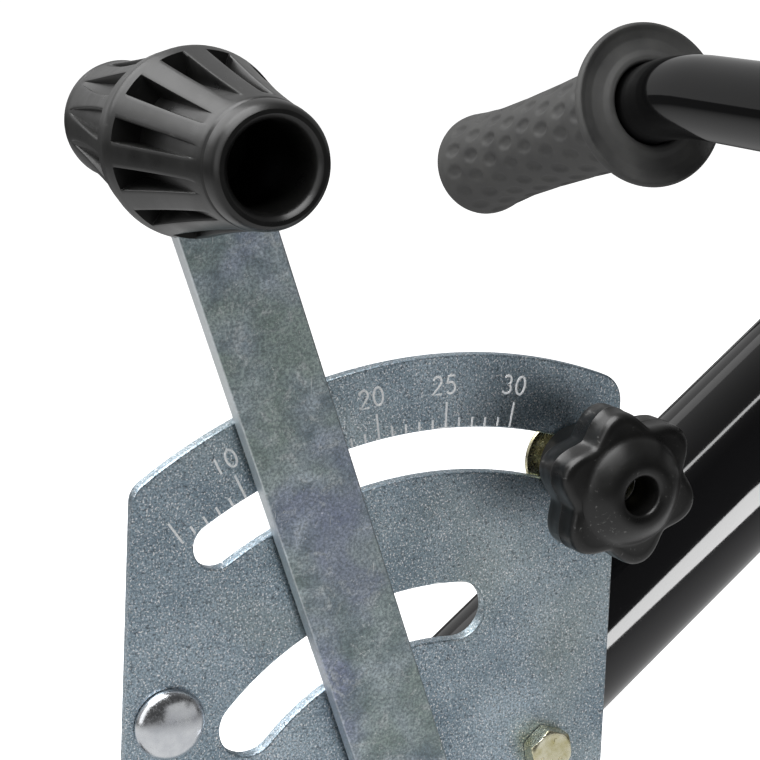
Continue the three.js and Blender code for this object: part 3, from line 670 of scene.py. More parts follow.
def arc_slot(inner, outer, start, end):
    """A slot along an arc with round ends, clockwise."""
    middle = (inner + outer) / 2
    half = (outer - inner) / 2
    tip = (middle * math.cos(end), middle * math.sin(end))
    heel = (middle * math.cos(start), middle * math.sin(start))
    points = arc(outer, start, end, 70)
    points += arc(half, end, end + math.pi, 20, *tip)
    points += arc(inner, end, start, 70)
    points += arc(half, start + math.pi, start + TURN, 20, *heel)
    return points[::-1]


def quadrant_plate():
    left, left_out = side_fillet(PLATE_LEFT)
    right, right_out = side_fillet(PLATE_RIGHT)
    left_top = math.atan2(left.y, left.x)
    right_top = math.atan2(right.y, right.x)
    low = PLATE_BOTTOM + PLATE_BOTTOM_FILLET
    low_x = [s["x"] + s["lean"] * low - s["side"] * PLATE_BOTTOM_FILLET for s in (PLATE_LEFT, PLATE_RIGHT)]
    outline = arc(PLATE_BOTTOM_FILLET, rad(-90), 0, 12, low_x[1], low)
    outline += arc(PLATE_RIGHT["fillet"], right_out, right_top, 12, *right)
    outline += arc(PLATE_TOP_RADIUS, right_top, left_top, 90)
    outline += arc(PLATE_LEFT["fillet"], left_top, left_out % TURN, 12, *left)
    outline += arc(PLATE_BOTTOM_FILLET, math.pi, rad(270), 12, low_x[0], low)
    half = M6_HOLE
    x, y = CUP_BOLT
    square = [(x - half, y - half), (x - half, y + half), (x + half, y + half), (x + half, y - half)]
    holes = [arc_slot(**STOP_SLOT), arc_slot(**LINK_SLOT), hole(M8_HOLE), hole(M6_HOLE, *HEX_BOLT), square]
    stand_in("quadrant_plate", slab([outline, *holes], -PLATE_THICK, 0, 0.55, 5), QUADRANT)


# ---- Scale ----
SCALE_START = rad(134.8)
SCALE_STEP = rad(1.8)
LINE_WIDTH = 0.6
MARK_HEIGHT = 0.05
DIGIT_WIDTH = 2.3
DIGIT_HEIGHT = 3.9
DIGIT_PITCH = 3.3
DIGIT_RADIUS = 109.6
DIGIT_TURN = rad(0.42)


def ribbon(points, width=LINE_WIDTH):
    """A thin raised line along 2D points, standing a little proud of the plate."""
    line = [Vector(p) for p in points]
    closed = (line[0] - line[-1]).length < 1e-4
    if closed:
        line.pop()
    rings = []
    for i, point in enumerate(line):
        first = line[i - 1] if closed or i else point
        last = line[(i + 1) % len(line)] if closed or i < len(line) - 1 else point
        ahead = (last - first).normalized()
        left = Vector((-ahead.y, ahead.x)) * width / 2
        low, high = -0.05, MARK_HEIGHT
        rings.append([Vector((*(point + left), low)), Vector((*(point - left), low)),
                      Vector((*(point - left * 0.7), high)), Vector((*(point + left * 0.7), high))])
    bm = loft(rings, loop=closed)
    if not closed:
        bmesh.ops.holes_fill(bm, edges=bm.edges, sides=4)
    return bm


def ellipse(x, y, rx, ry, start, end, steps=20):
    angles = [rad(start + (end - start) * i / steps) for i in range(steps + 1)]
    return [(x + rx * math.cos(a), y + ry * math.sin(a)) for a in angles]


# Single-stroke numerals in a box one unit wide and one high.
STROKES = {
    "0": [ellipse(0.5, 0.5, 0.46, 0.5, 0, 360, 32)],
    "1": [[(0.25, 0.82), (0.55, 1.0), (0.55, 0.0)]],
    "2": [ellipse(0.5, 0.72, 0.42, 0.28, 165, -35) + [(0.06, 0.0), (0.94, 0.0)]],
    "3": [ellipse(0.46, 0.75, 0.38, 0.25, 150, -80), ellipse(0.46, 0.26, 0.46, 0.26, 82, -150)],
    "5": [[(0.88, 1.0), (0.2, 1.0), (0.12, 0.56)] + ellipse(0.47, 0.33, 0.46, 0.32, 128, -145)],
}


def scale_marks():
    """Ticks from 5 to 30 above the stop slot and a number at every ten or five."""
    shells = []
    for mark in range(5, 31):
        angle = SCALE_START - SCALE_STEP * mark
        far = 105.9 if mark % 5 == 0 else 102.3
        direction = Vector((math.cos(angle), math.sin(angle)))
        shells.append(ribbon([direction * 100.35, direction * far]))
    for label in (10, 15, 20, 25, 30):
        angle = SCALE_START - SCALE_STEP * label
        text = str(label)
        turn = Matrix.Rotation(angle + DIGIT_TURN - math.pi / 2, 4, "Z")
        for place, digit in enumerate(text):
            x = (place - len(text) / 2 + 0.5) * DIGIT_PITCH - DIGIT_WIDTH / 2
            y = DIGIT_RADIUS - DIGIT_HEIGHT / 2
            for stroke in STROKES[digit]:
                line = [(x + u * DIGIT_WIDTH, y + v * DIGIT_HEIGHT) for u, v in stroke]
                shells.append(moved(ribbon(line), turn))
    obj = piece("scale_marks", merged(*shells), QUADRANT, "frame", "zinc_plate", even=False)
    obj.data.materials[0] = ETCHED


# ---- Tube, foot and stay ----
def tube_foot_z(point):
    """How far down the tube a point of its wall meets the foot's top face, in the tube's frame."""
    y_up = point.x * ACROSS.y
    return (FOOT_TOP + GAP - y_up) / ALONG.y


def main_tube():
    rings = []
    for radius, top in ((TUBE_RADIUS, TUBE_TOP), (TUBE_RADIUS - TUBE_WALL, TUBE_TOP)):
        upper = ring(radius, top, 96)
        lower = [Vector((p.x, p.y, tube_foot_z(p))) for p in upper]
        rings.append((lower, upper))
    (outer_low, outer_high), (inner_low, inner_high) = rings
    stand_in("main_tube", loft([outer_low, outer_high, inner_high, inner_low], loop=True), TUBE, sharp=40)


def foot_flange():
    half_x, half_z = FOOT_HALF
    corners = [(-half_x, -half_z), (half_x, -half_z), (half_x, half_z), (-half_x, half_z)]
    outline = soften(corners, 9, 8, closed=True)
    holes = [hole(4.5, sx * 43, sz * 30) for sx in (-1, 1) for sz in (-1, 1)]
    flat = QUADRANT @ shift(FOOT_X, FOOT_TOP, TUBE_Z) @ Matrix.Rotation(rad(-90), 4, "X")
    stand_in("foot_flange", slab([outline, *holes], -FOOT_THICK, 0, 0.6), flat)


def foot_gusset():
    heel = FOOT_X + (TUBE_RADIUS + GAP) / math.sin(TUBE_ANGLE)
    base = FOOT_TOP + GAP
    run = 22
    start = 1.5
    slope = math.tan(TUBE_ANGLE)
    corners = [(heel + start, base), (heel + run, base), (heel + run, base + run * slope - GAP),
               (heel + start, base + start * slope - GAP)]
    outline = soften(corners, 0.8, 3, closed=True)
    stand_in("foot_gusset", slab([outline], TUBE_Z - 2.5, TUBE_Z + 2.5), QUADRANT)


def weld_line(x, offset=9.2):
    """Height of the stay's lower edge, where it meets the tube."""
    return (offset + math.sin(TUBE_ANGLE) * x) / math.cos(TUBE_ANGLE)


def stay_strap():
    x, y = CUP_BOLT
    half = 7.5
    outline = arc(half, 0, math.pi, 24, x, y)
    outline += [(x - half, weld_line(x - half)), (x + half, weld_line(x + half))]
    front = -PLATE_THICK - GAP
    stand_in("stay_strap", slab([outline, hole(M6_HOLE, x, y)], front - STAY_THICK, front, 0.4), QUADRANT)


def bead(points, radius=2.2, closed=False):
    """A weld bead along 3D points, with the ripples of a stacked weld."""
    rings = []
    line = [Vector(p) for p in points]
    spacing = (line[1] - line[0]).length
    for i, point in enumerate(line):
        first = line[i - 1] if closed or i else point
        last = line[(i + 1) % len(line)] if closed or i < len(line) - 1 else point
        ahead = (last - first).normalized()
        side = ahead.orthogonal().normalized()
        up = ahead.cross(side)
        r = radius * (1 + 0.09 * math.cos(TURN * i * spacing / 2.4))
        if not closed and i in (0, len(line) - 1):
            r *= 0.45
        angles = [TURN * k / 14 for k in range(14)]
        rings.append([point + side * (r * math.cos(a)) + up * (r * math.sin(a)) for a in angles])
    if not closed:
        rings = [[line[0]], *rings, [line[-1]]]
    return loft(rings, loop=closed)


def welds():
    """Beads where the tube meets its foot and where the stay and the gusset meet the tube."""
    foot_ring = ring(TUBE_RADIUS + 0.6, 0, 220)
    foot_line = [Vector((p.x, p.y, tube_foot_z(p) + 0.4)) for p in foot_ring]
    piece("weld_foot", bead(foot_line, 2.4, closed=True), TUBE, "frame", "black_paint", sharp=80)
    x = CUP_BOLT[0]
    z = -PLATE_THICK - GAP - 3.4
    spots = [x - 6.8 + 13.6 * i / 24 for i in range(25)]
    stay_line = [(s, weld_line(s) + 0.6, z) for s in spots]
    piece("weld_stay", bead(stay_line, 1.5), QUADRANT, "frame", "black_paint", sharp=80)
    heel = FOOT_X + (TUBE_RADIUS + GAP) / math.sin(TUBE_ANGLE)
    slope = math.tan(TUBE_ANGLE)
    for name, side in (("weld_gusset_near", 1), ("weld_gusset_far", -1)):
        z = TUBE_Z + side * 2.7
        runs = [heel + 3 + 18 * i / 32 for i in range(33)]
        along_foot = bead([(s, FOOT_TOP + 0.4, z) for s in runs], 1.4)
        up_tube = bead([(s, FOOT_TOP + (s - heel) * slope - 0.1, z) for s in runs], 1.4)
        piece(name, merged(along_foot, up_tube), QUADRANT, "frame", "black_paint", sharp=80)


# ---- Handlebar ----
def bar_point(length):
    """A point of the handlebar's centre line, by length from the middle."""
    side = 1 if length >= 0 else -1
    distance = abs(length)
    bend = min(max(distance - BAR_STRAIGHT, 0), BAR_BEND * BAR_DROP) / BAR_BEND
    beyond = max(distance - BAR_STRAIGHT - BAR_BEND * BAR_DROP, 0)
    out = min(distance, BAR_STRAIGHT) + BAR_BEND * math.sin(bend) + beyond * math.cos(bend)
    down = BAR_BEND * (1 - math.cos(bend)) + beyond * math.sin(bend)
    centre = ALONG * BAR_REACH
    x = centre.x + down * math.sin(BAR_TILT)
    return Vector((x, centre.y - down * math.cos(BAR_TILT), TUBE_Z + side * out))


def handlebar():
    steps = 120
    walls = ([], [])
    for i in range(steps + 1):
        length = BAR_HALF * (2 * i / steps - 1)
        centre = bar_point(length)
        ahead = (bar_point(length + 1) - bar_point(length - 1)).normalized()
        up = ahead.cross(FIRST).normalized()
        right = up.cross(ahead)
        for wall, radius in zip(walls, (BAR_RADIUS, BAR_RADIUS - 2)):
            wall.append([centre + right * p.x + up * p.y for p in ring(radius, 0, 64)])
    outer, inner = walls
    stand_in("handlebar", loft(outer + inner[::-1], loop=True), QUADRANT, sharp=40)


DIMPLE_ROWS = 8
DIMPLES_ROUND = 14


def grip_radius(z):
    """Radius of the barrel: wide at the guard, narrow in the middle and swollen at its end."""
    return between(GRIP_WAIST, z) - 0.25


def between(table, z):
    """A value read off a short table of (z, value) points by straight lines."""
    for (z0, v0), (z1, v1) in zip(table, table[1:]):
        if z <= z1:
            share = min(max((z - z0) / (z1 - z0), 0), 1)
            return v0 + (v1 - v0) * share
    return table[-1][1]


def dimple(angle, z, row_start=20, pitch=15, half_length=5.6, half_width=2.5, depth=1.0):
    """Depth of the nearest oval dimple of staggered rows."""
    row = round((z - row_start) / pitch)
    if not 0 <= row < DIMPLE_ROWS:
        return 0
    spacing = TURN / DIMPLES_ROUND
    phase = spacing / 2 * (row % 2)
    off = (angle - phase + spacing / 2) % spacing - spacing / 2
    distance = ((z - row_start - row * pitch) / half_length) ** 2 + (off * 18.5 / half_width) ** 2
    return depth * max(0, 1 - distance ** 2)


def hand_grip():
    """A closed rubber grip with a dished guard; its axis runs outwards from the guard."""
    bore = BAR_RADIUS + 0.35
    rim = GUARD_RADIUS
    guard = [(bore, 9), (bore, 1.0), (bore + 0.9, 0.1), (bore + 2.6, 0.2), (bore + 4.6, 1.2), (23, 1.9),
             (rim - 3, 1.3), (rim - 1.2, 0.5), (rim - 0.3, 1.2), (rim - 0.02, 2.5), (rim - 0.4, 3.9),
             (rim - 1.7, 4.9), (25.5, 5.3), (22.8, 5.8), (21.3, 6.8)]
    rings = [ring(r, z, 168) for r, z in soften(guard, 0.5)]
    stations = 170
    last = GRIP_LENGTH - 7
    for i in range(stations + 1):
        z = 8 + (last - 8) * i / stations
        rings.append(ring(lambda a, z=z: grip_radius(z) - dimple(a, z), z, 168))
    end = grip_radius(last)
    for k in range(1, 9):
        turn = rad(90) * k / 9
        rings.append(ring(end - 7 * (1 - math.cos(turn)), last + 6.9 * math.sin(turn), 168))
    rings += [ring(9, GRIP_LENGTH - 0.05, 168), ring(5, GRIP_LENGTH - 0.4, 168), ring(0, GRIP_LENGTH - 0.4)]
    inside = [ring(0, GRIP_LENGTH - 2.4), ring(bore, GRIP_LENGTH - 2.4, 168)]
    return loft(inside + rings)


def grips():
    for node, side in (("grip_near", 1), ("grip_far", -1)):
        start = bar_point(side * GRIP_START)
        outward = (bar_point(side * (GRIP_START + GRIP_LENGTH)) - start).normalized()
        up = outward.cross(FIRST).normalized()
        place = QUADRANT @ basis(up.cross(outward), up, outward, start)
        stand_in(node, hand_grip(), place, sharp=50, even=False)


def clamp():
    """The welded saddle and the bolted cap, drawn across the bar and pulled out along it."""
    across_bar = TUBE @ basis((1, 0, 0), (0, 0, 1), (0, -1, 0))
    split, radius, ear, ear_thick, bore = 0.6, 21, 30, 9, BAR_RADIUS + 0.15
    half = 24
    middle = BAR_REACH
    high = middle - split
    low = TUBE_TOP + GAP
    cut = math.asin(split / bore)
    saddle = [(-radius, low), (radius, low), (radius, high - ear_thick), (ear, high - ear_thick), (ear, high)]
    saddle = soften(saddle, 1.2, 4) + arc(bore, -cut, cut - math.pi, 40, 0, middle)
    saddle += [(-ear, high), (-ear, high - ear_thick), (-radius, high - ear_thick)]
    stand_in("clamp_saddle", slab([saddle], -half, half, 0.9), across_bar)
    low = middle + split
    top = low + ear_thick
    meet = math.asin((top - middle) / radius)
    cap = arc(radius, meet, math.pi - meet, 40, 0, middle)
    cap += [(-ear, top), (-ear, low)]
    cap += arc(bore, math.pi - cut, cut, 40, 0, middle) + [(ear, low), (ear, top)]
    stand_in("clamp_cap", slab([cap], -half, half, 0.9), across_bar)
    places = [(x, y) for x in (-24, 24) for y in (-15, 15)]
    for count, (x, y) in enumerate(places, 1):
        bolt = moved(hex_bolt(M6, top + GAP, middle - 13, 8), shift(x, y))
        stand_in(f"clamp_bolt_{count}", bolt, TUBE)


# ---- Fasteners of the plate and the pivot ----
def plate_bolt():
    bolt = hex_bolt(M6, GAP / 2, NUT_SEAT - M6["nut"] - NUT_SPARE, 12)
    x, y = HEX_BOLT
    top = M6["head"] + GAP / 2
    marks = []
    for k in range(3):
        angle = rad(100 + 120 * k)
        bar = [(-0.28, 2.3), (0.28, 2.3), (0.28, 3.7), (-0.28, 3.7)]
        bar = slab([soften(bar, 0.15, 2, closed=True)], -0.1, 0.18, 0.08)
        marks.append(moved(bar, shift(0, 0, top) @ Matrix.Rotation(angle, 4, "Z")))
    turn = Matrix.Rotation(rad(11), 4, "Z")
    stand_in("plate_bolt", merged(bolt, *marks), QUADRANT @ shift(x, y) @ turn)
    stand_in("plate_bolt_nut", nut(M6, NUT_SEAT - M6["nut"], M6["nut"]), QUADRANT @ shift(x, y))
    for place, side in (("front", 1), ("rear", -1)):
        stand_in(f"plate_bolt_saddle_{place}", saddle_washer(M6_HOLE, x, y, side), QUADRANT @ shift(x, y))
        stand_in(f"pivot_saddle_{place}", saddle_washer(M8_HOLE, 0, 0, side), QUADRANT)


def cup_profile(radius, height, facing, seat):
    """The domed head of a cup-head bolt from its pole to its underside."""
    rim = 0.5
    line = [(0, seat + facing * height)]
    steps = 16
    for k in range(1, steps + 1):
        turn = rad(90) * (1 - k / steps)
        line.append((radius * math.cos(turn), seat + facing * (rim + (height - rim) * math.sin(turn))))
    line.append((radius - 0.15, seat + facing * 0.1))
    return line


def cup_bolt(radius, height, neck, shank, neck_length, thread_size, length, facing, seat):
    """A cup-head bolt with a square neck and a threaded shank."""
    rings = [ring(r, z, HEX_STEPS) for r, z in cup_profile(radius, height, facing, seat)]

    def square(angle):
        from_flat = (angle + rad(45)) % rad(90) - rad(45)
        return min(neck / 2 / math.cos(from_flat), neck / 2 * 1.36)

    for depth in (-0.1, neck_length):
        rings.append(ring(square, seat - facing * depth, HEX_STEPS))
    rings.append(ring(shank, seat - facing * neck_length, HEX_STEPS))
    tip = seat - facing * length
    near = seat - facing * (neck_length + 0.4)
    threads = thread_rings(shank, thread_size["pitch"], 0, abs(near - tip))
    for points in threads:
        rings.append([Vector((p.x, p.y, tip + facing * p.z)) for p in points])
    rings.append(ring(0, tip))
    return loft(rings)


def plate_fasteners():
    plate_bolt()
    x, y = CUP_BOLT
    bolt = cup_bolt(7.7, 3.8, 6, 3, PLATE_THICK, M6, 14, 1, GAP / 2)
    stand_in("cup_bolt", bolt, QUADRANT @ shift(x, y), sharp=45)
    seat = -PLATE_THICK - STAY_THICK - 2 * GAP
    stand_in("cup_bolt_nut", nut(M6, seat - M6["nut"], M6["nut"]), QUADRANT @ shift(x, y))
    head_seat = LEVER_FRONT + WASHER_THICK + 3 * GAP
    stand_in("pivot_bolt", hex_bolt(M8, head_seat, NUT_SEAT - M8["nut"] - NUT_SPARE, 16), QUADRANT)
    stand_in("pivot_nut", nut(M8, NUT_SEAT - M8["nut"], M8["nut"]), QUADRANT)
    stand_in("pivot_spacer", washer(8, M8_HOLE, GAP, LEVER_BACK - GAP), QUADRANT)


# ---- Lever ----
def lever_bar():
    outline = [(LEVER_HALF, LEVER_TOP), (-LEVER_HALF, LEVER_TOP)]
    outline = soften(outline + arc(LEVER_HALF, math.pi, TURN, 32, 0, LEVER_TAIL + LEVER_HALF), 0.0001, 1)
    holes = [hole(6.3), hole(2.8, 0, T_REACH)]
    stand_in("lever_bar", slab([outline, *holes], LEVER_BACK, LEVER_FRONT, 0.5), LEVER)
    stand_in("pivot_bush", washer(6, M8_HOLE, LEVER_BACK, LEVER_FRONT + GAP), LEVER)
    seat = LEVER_FRONT + 2 * GAP
    stand_in("pivot_washer", washer(8.5, M8_HOLE, seat, seat + WASHER_THICK), LEVER)


T_SLOTS = 12
SLOT_FROM = 6.8
SLOT_TO = 36.4
SLOT_FLOOR = 12.2
PARTING = -2.4
RECESS_FROM = -3.4
RECESS_TO = -36


def t_outline(z):
    """Radius of the T-grip's outside: two hollow-sided cones that meet at the crown."""
    front = z > T_CROWN
    share = min((z - T_CROWN) / ((T_FRONT if front else T_SHOULDER) - T_CROWN), 1)
    end = T_RING_RADIUS if front else T_SHOULDER_RADIUS
    radius = end + (T_CROWN_RADIUS - end) * (1 - share) ** 1.3
    return min(radius, T_CROWN_RADIUS - 0.12) - (0.35 if z < PARTING else 0)


def t_floor(z):
    """Radius of the floor of the slots in front and of the lens-shaped recesses behind."""
    outside = t_outline(z)
    if SLOT_FROM < z < SLOT_TO:
        return min(outside, SLOT_FLOOR)
    if RECESS_TO < z < RECESS_FROM:
        share = (z - RECESS_TO) / (RECESS_FROM - RECESS_TO)
        return outside - 2.2 * math.sin(min(share * 1.5, 1) * math.pi / 2)
    return outside


def slot_half(z):
    """Half the width of a slot or a recess, which narrows away from the crown."""
    if z > T_CROWN:
        share = min(max((z - SLOT_FROM) / (SLOT_TO - SLOT_FROM), 0), 1)
        return 2.25 - 1.3 * share
    share = min(max((z - RECESS_FROM) / (RECESS_TO - RECESS_FROM), 0), 1)
    return 0.25 + 2.5 * (1 - share ** 1.8)


def t_ring(z):
    """One ring of the T-grip, whose points follow the slots' edges."""
    outside, floor = t_outline(z), t_floor(z)
    half = slot_half(z)
    period = TURN / T_SLOTS
    edge = half / outside
    lip = 0.35 / outside
    drop = min(0.3, outside - floor)
    line = [0, edge * 0.5, edge * 0.97, edge]
    radii = [floor, floor, floor, outside - drop]
    line += [edge + lip * 0.4, edge + lip]
    radii += [outside - drop * 0.25, outside]
    rest = period / 2 - edge - lip
    for k in range(1, 5):
        line.append(edge + lip + rest * k / 4)
        radii.append(outside)
    half_period = list(zip(line, radii))
    full = [(-a, r) for a, r in reversed(half_period[1:-1])] + half_period
    points = []
    for slot in range(T_SLOTS):
        for angle, radius in full:
            a = slot * period + angle
            points.append(Vector((radius * math.cos(a), radius * math.sin(a), z)))
    return points


def t_grip():
    """The moulded T-grip: slotted cone in front, recessed cone behind, a rolled lip round each bore."""
    count = len(t_ring(0))
    stations = [T_SHOULDER + (RECESS_TO - T_SHOULDER) * k / 3 for k in range(4)]
    stations += [RECESS_TO + (RECESS_FROM - RECESS_TO) * k / 26 for k in range(1, 26)]
    stations += [RECESS_FROM - 0.08, RECESS_FROM + 0.02, RECESS_FROM + 0.4, PARTING - 0.02, PARTING + 0.06]
    stations += [-1.6, -0.2, 1.4, 2.6, 3.4, T_CROWN, 4.6, 5.6]
    stations += [SLOT_FROM - 0.35, SLOT_FROM - 0.02, SLOT_FROM + 0.1]
    stations += [SLOT_FROM + (SLOT_TO - SLOT_FROM) * k / 30 for k in range(1, 31)]
    body = [t_ring(z) for z in stations]

    def turned(profile):
        phase = math.atan2(body[0][0].y, body[0][0].x)
        return [ring(r, z, count, phase) for r, z in profile]

    lip = [(11.75, 36.7), (11.5, 36.95), (11.4, 37.25), (11.7, 37.7), (11.6, 38.7), (11.35, 40.1), (10.9, 41.1)]
    bore = [(10.2, 41.6), (9.4, 41.6), (8.7, 41.1), (8.25, 40.3), (8.1, 39.2), (8.1, 9.0), (0, 8.8)]
    front = turned(lip + bore)
    rear = turned([(0, -5), (8.7, -5), (8.7, -42.6), (8.8, -43.6), (9.3, -43.95), (10.1, -43.5), (11.4, -42),
                   (12.1, -40.2), (12.35, -38.8)])
    return loft(rear + body + front)


def lever_grip():
    place = arm(LEVER_ANGLE, T_REACH)
    stand_in("lever_grip", t_grip(), place, sharp=32, even=False)
    seat = 8.8 + GAP
    head = [(0, seat + 1.0), (1.6, seat + 1.0), (1.6, seat + 2.6), (3.2, seat + 2.6), (4.5, seat + 1.6)]
    head += [(4.5, seat), (2.5, seat), (2.5, -3), (0, -3)]
    stand_in("lever_grip_screw", lathe(head, 0.25, 48), place)


def link():
    pin_top = LEVER_BACK - GAP
    thread_top = ROD_Z - EYE_HALF
    shank = M8["shank"]
    pin = [ring(0, pin_top), ring(shank - 0.4, pin_top, HEX_STEPS), ring(shank, pin_top - 0.4, HEX_STEPS)]
    pin.append(ring(shank, thread_top, HEX_STEPS))
    pin += thread_rings(shank, M8["pitch"], LINK_TIP, thread_top - 0.1)
    pin.append(ring(0, LINK_TIP))
    stand_in("link_pin", loft(pin), LINK)
    front = -PLATE_THICK - 2 * GAP
    stand_in("link_roller", washer(6.2, M8_HOLE, front + GAP, LEVER_BACK - 2 * GAP, 0.4), LINK)
    stand_in("link_washer", washer(8, M8_HOLE, front - WASHER_THICK, front), LINK)
    stand_in("link_sleeve", washer(5.5, M8_HOLE, ROD_Z + EYE_HALF + GAP, front - WASHER_THICK - GAP), LINK)
    eye_rear = ROD_Z - EYE_HALF - GAP
    stand_in("link_end_washer", washer(8, M8_HOLE, eye_rear - WASHER_THICK, eye_rear), LINK)
    stand_in("link_nut", nut(M8, eye_rear - WASHER_THICK - GAP - THIN_M8, THIN_M8), LINK)


# ---- Control rod: x faces the plate's front, z runs down the rod ----
def from_rod(bm, z=0):
    """Turns a solid's axis from the rod's direction to the pin's."""
    return moved(bm, shift(0, 0, z) @ Matrix.Rotation(rad(90), 4, "Y"))


def rod_bar(radius, low, high, size=0.5, steps=72):
    """A round bar along the rod's axis."""
    return lathe([(0, low), (radius, low), (radius, high), (0, high)], size, steps)


def rod_eye():
    boss = from_rod(rod_bar(EYE_RADIUS, -EYE_HALF, EYE_HALF, 0.7))
    end = ROD_TOP + NECK_LENGTH
    neck = lathe([(0, 4), (3.4, 4), (3.4, 8.6), (NECK_RADIUS, 10), (NECK_RADIUS, end), (0, end)], 0.5, 72)
    bore = from_rod(rod_bar(M8_HOLE, -12, 12, 0, 64))
    socket = rod_bar(M6_HOLE, ROD_TOP, 30, 0, 64)
    stand_in("rod_eye", combine(combine(boss, neck), bore, socket, operation="DIFFERENCE"), ROD)


def rod_fork():
    half, gap_half, tip, back = 6, 3.1, 180, ROD_END + 2
    gap_start = back + 7
    right = [(half, back), (half, tip), (gap_half, tip), (gap_half, gap_start)]
    outline = right + [(-x, z) for x, z in reversed(right)]
    flat = Matrix.Rotation(rad(90), 4, "X")
    fork = moved(slab([soften(outline, 0.9, 4, closed=True)], -half, half, 0.7), flat)
    neck = rod_bar(NECK_RADIUS, FORK_NECK, FORK_NECK + 15)
    pin = from_rod(rod_bar(3.1, -12, 12, 0, 48), tip - 7)
    socket = rod_bar(M6_HOLE, FORK_NECK - 5, ROD_END + GAP, 0, 64)
    stand_in("rod_fork", combine(combine(fork, neck), pin, socket, operation="DIFFERENCE"), ROD)


def control_rod():
    rod_eye()
    top = ROD_TOP + GAP
    shank, pitch = M6["shank"], M6["pitch"]
    upper = thread_rings(shank, pitch, 0, 24)[::-1]
    upper = [[Vector((p.x, p.y, top + p.z)) for p in points] for points in upper]
    lower = thread_rings(shank, pitch, 0, 25)
    lower = [[Vector((p.x, p.y, ROD_END - p.z)) for p in points] for points in lower]
    plain = [ring(shank, z, HEX_STEPS) for z in (37, 130)]
    rod = [ring(0, top), *upper, *plain, *lower, ring(0, ROD_END)]
    stand_in("control_rod", loft(rod), ROD)
    stand_in("rod_lock_nut_upper", nut(M6, ROD_TOP + NECK_LENGTH + GAP, THIN_M6), ROD)
    stand_in("rod_lock_nut_lower", nut(M6, FORK_NECK - GAP - THIN_M6, THIN_M6), ROD)
    rod_fork()


# ---- Stop and star knob ----
STAR_STEPS = 192


def star_radius(angle, shrink=0.0):
    """Outline of the knob's six lobes."""
    wave = (1 + math.cos(6 * (angle - KNOB_PHASE))) / 2
    return 17.3 - 3.4 * (1 - wave ** 0.8) - shrink


def star(shrink, z):
    return ring(lambda angle: star_radius(angle, shrink), z, STAR_STEPS)


def knob():
    hub = [(5.6, 0.45), (8.3, 0.45), (8.8, 0.9), (8.8, 11.2), (9.2, 12.0), (10.2, 12.4)]
    boss = [(12.4, 24.05), (11.8, 24.25), (11.3, 24.9), (10.4, 25.8), (8.9, 27.1), (7.6, 28.0), (6.7, 28.3),
            (5.2, 28.3), (4.5, 28.0), (4.15, 27.3), (4.15, 18.9), (5.6, 18.8)]
    rings = [ring(r, z, STAR_STEPS) for r, z in hub]
    lobes = [(2.8, 12.5), (1.2, 12.6), (0.4, 13.0), (0.05, 13.8), (0, 15), (0, 18.1), (-0.12, 18.25),
             (0, 18.4), (0, 21.8), (0.1, 22.7), (0.5, 23.5), (1.3, 23.95), (2.4, 24.0)]
    rings += [star(shrink, z) for shrink, z in lobes]
    rings += [ring(r, z, STAR_STEPS) for r, z in boss]
    star_knob = stand_in("star_knob", loft(rings, loop=True), KNOB, sharp=50, even=False)
    star_knob.data.materials[0] = WORN_PLASTIC
    stand_in("knob_insert", washer(5.2, 4.2, 0.8, KNOB_DEPTH), KNOB)
    length = PLATE_THICK + KNOB_DEPTH
    bolt = cup_bolt(9.6, 3.9, 8, 4, PLATE_THICK - 0.5, M8, length, -1, 0)
    stand_in("stop_bolt", bolt, STOP @ shift(0, 0, -PLATE_THICK - GAP / 2), sharp=45)


# ---- Camera, light and floor ----
def camera():
    data = bpy.data.cameras.new("camera")
    data.sensor_width = 36
    data.lens = 90
    data.clip_start = 0.01
    obj = bpy.data.objects.new("camera", data)
    right = Vector((0.89518, -0.44441, 0.03394))
    up = Vector((0.07361, 0.22251, 0.97215))
    obj.matrix_world = basis(right, up, right.cross(up), (-0.04039, -0.36660, 0.32818))
    bpy.context.scene.collection.objects.link(obj)
    bpy.context.scene.camera = obj


def panel(name, toward, distance, width, length, radiance, long_axis, target=(0.2, 0, 0.22)):
    """A soft area light in a direction from a target, with its length along an axis."""
    light = bpy.data.lights.new(name, "AREA")
    light.shape = "RECTANGLE"
    light.size = width
    light.size_y = length
    light.energy = radiance * math.pi * width * length
    obj = bpy.data.objects.new(name, light)
    back = Vector(toward).normalized()
    across = Vector(long_axis).cross(back).normalized()
    centre = Vector(target) + back * distance
    obj.matrix_world = basis(across, back.cross(across), back, centre)
    obj.visible_camera = False
    bpy.context.scene.collection.objects.link(obj)
    return obj


def ramp(tree, value, ends):
    """A value stretched from one range to another."""
    made = tree.nodes.new("ShaderNodeMapRange")
    for key, end in zip(("From Min", "From Max", "To Min", "To Max"), ends):
        made.inputs[key].default_value = end
    tree.links.new(value, made.inputs["Value"])
    return made.outputs["Result"]


def seen_and_felt(tree, seen, felt, output):
    """Gives the camera one shader and everything else another. For the stage only."""
    path = tree.nodes.new("ShaderNodeLightPath")
    mix = tree.nodes.new("ShaderNodeMixShader")
    tree.links.new(path.outputs["Is Camera Ray"], mix.inputs["Fac"])
    tree.links.new(felt.outputs[0], mix.inputs[1])
    tree.links.new(seen.outputs[0], mix.inputs[2])
    tree.links.new(mix.outputs[0], tree.nodes[output].inputs["Surface"])


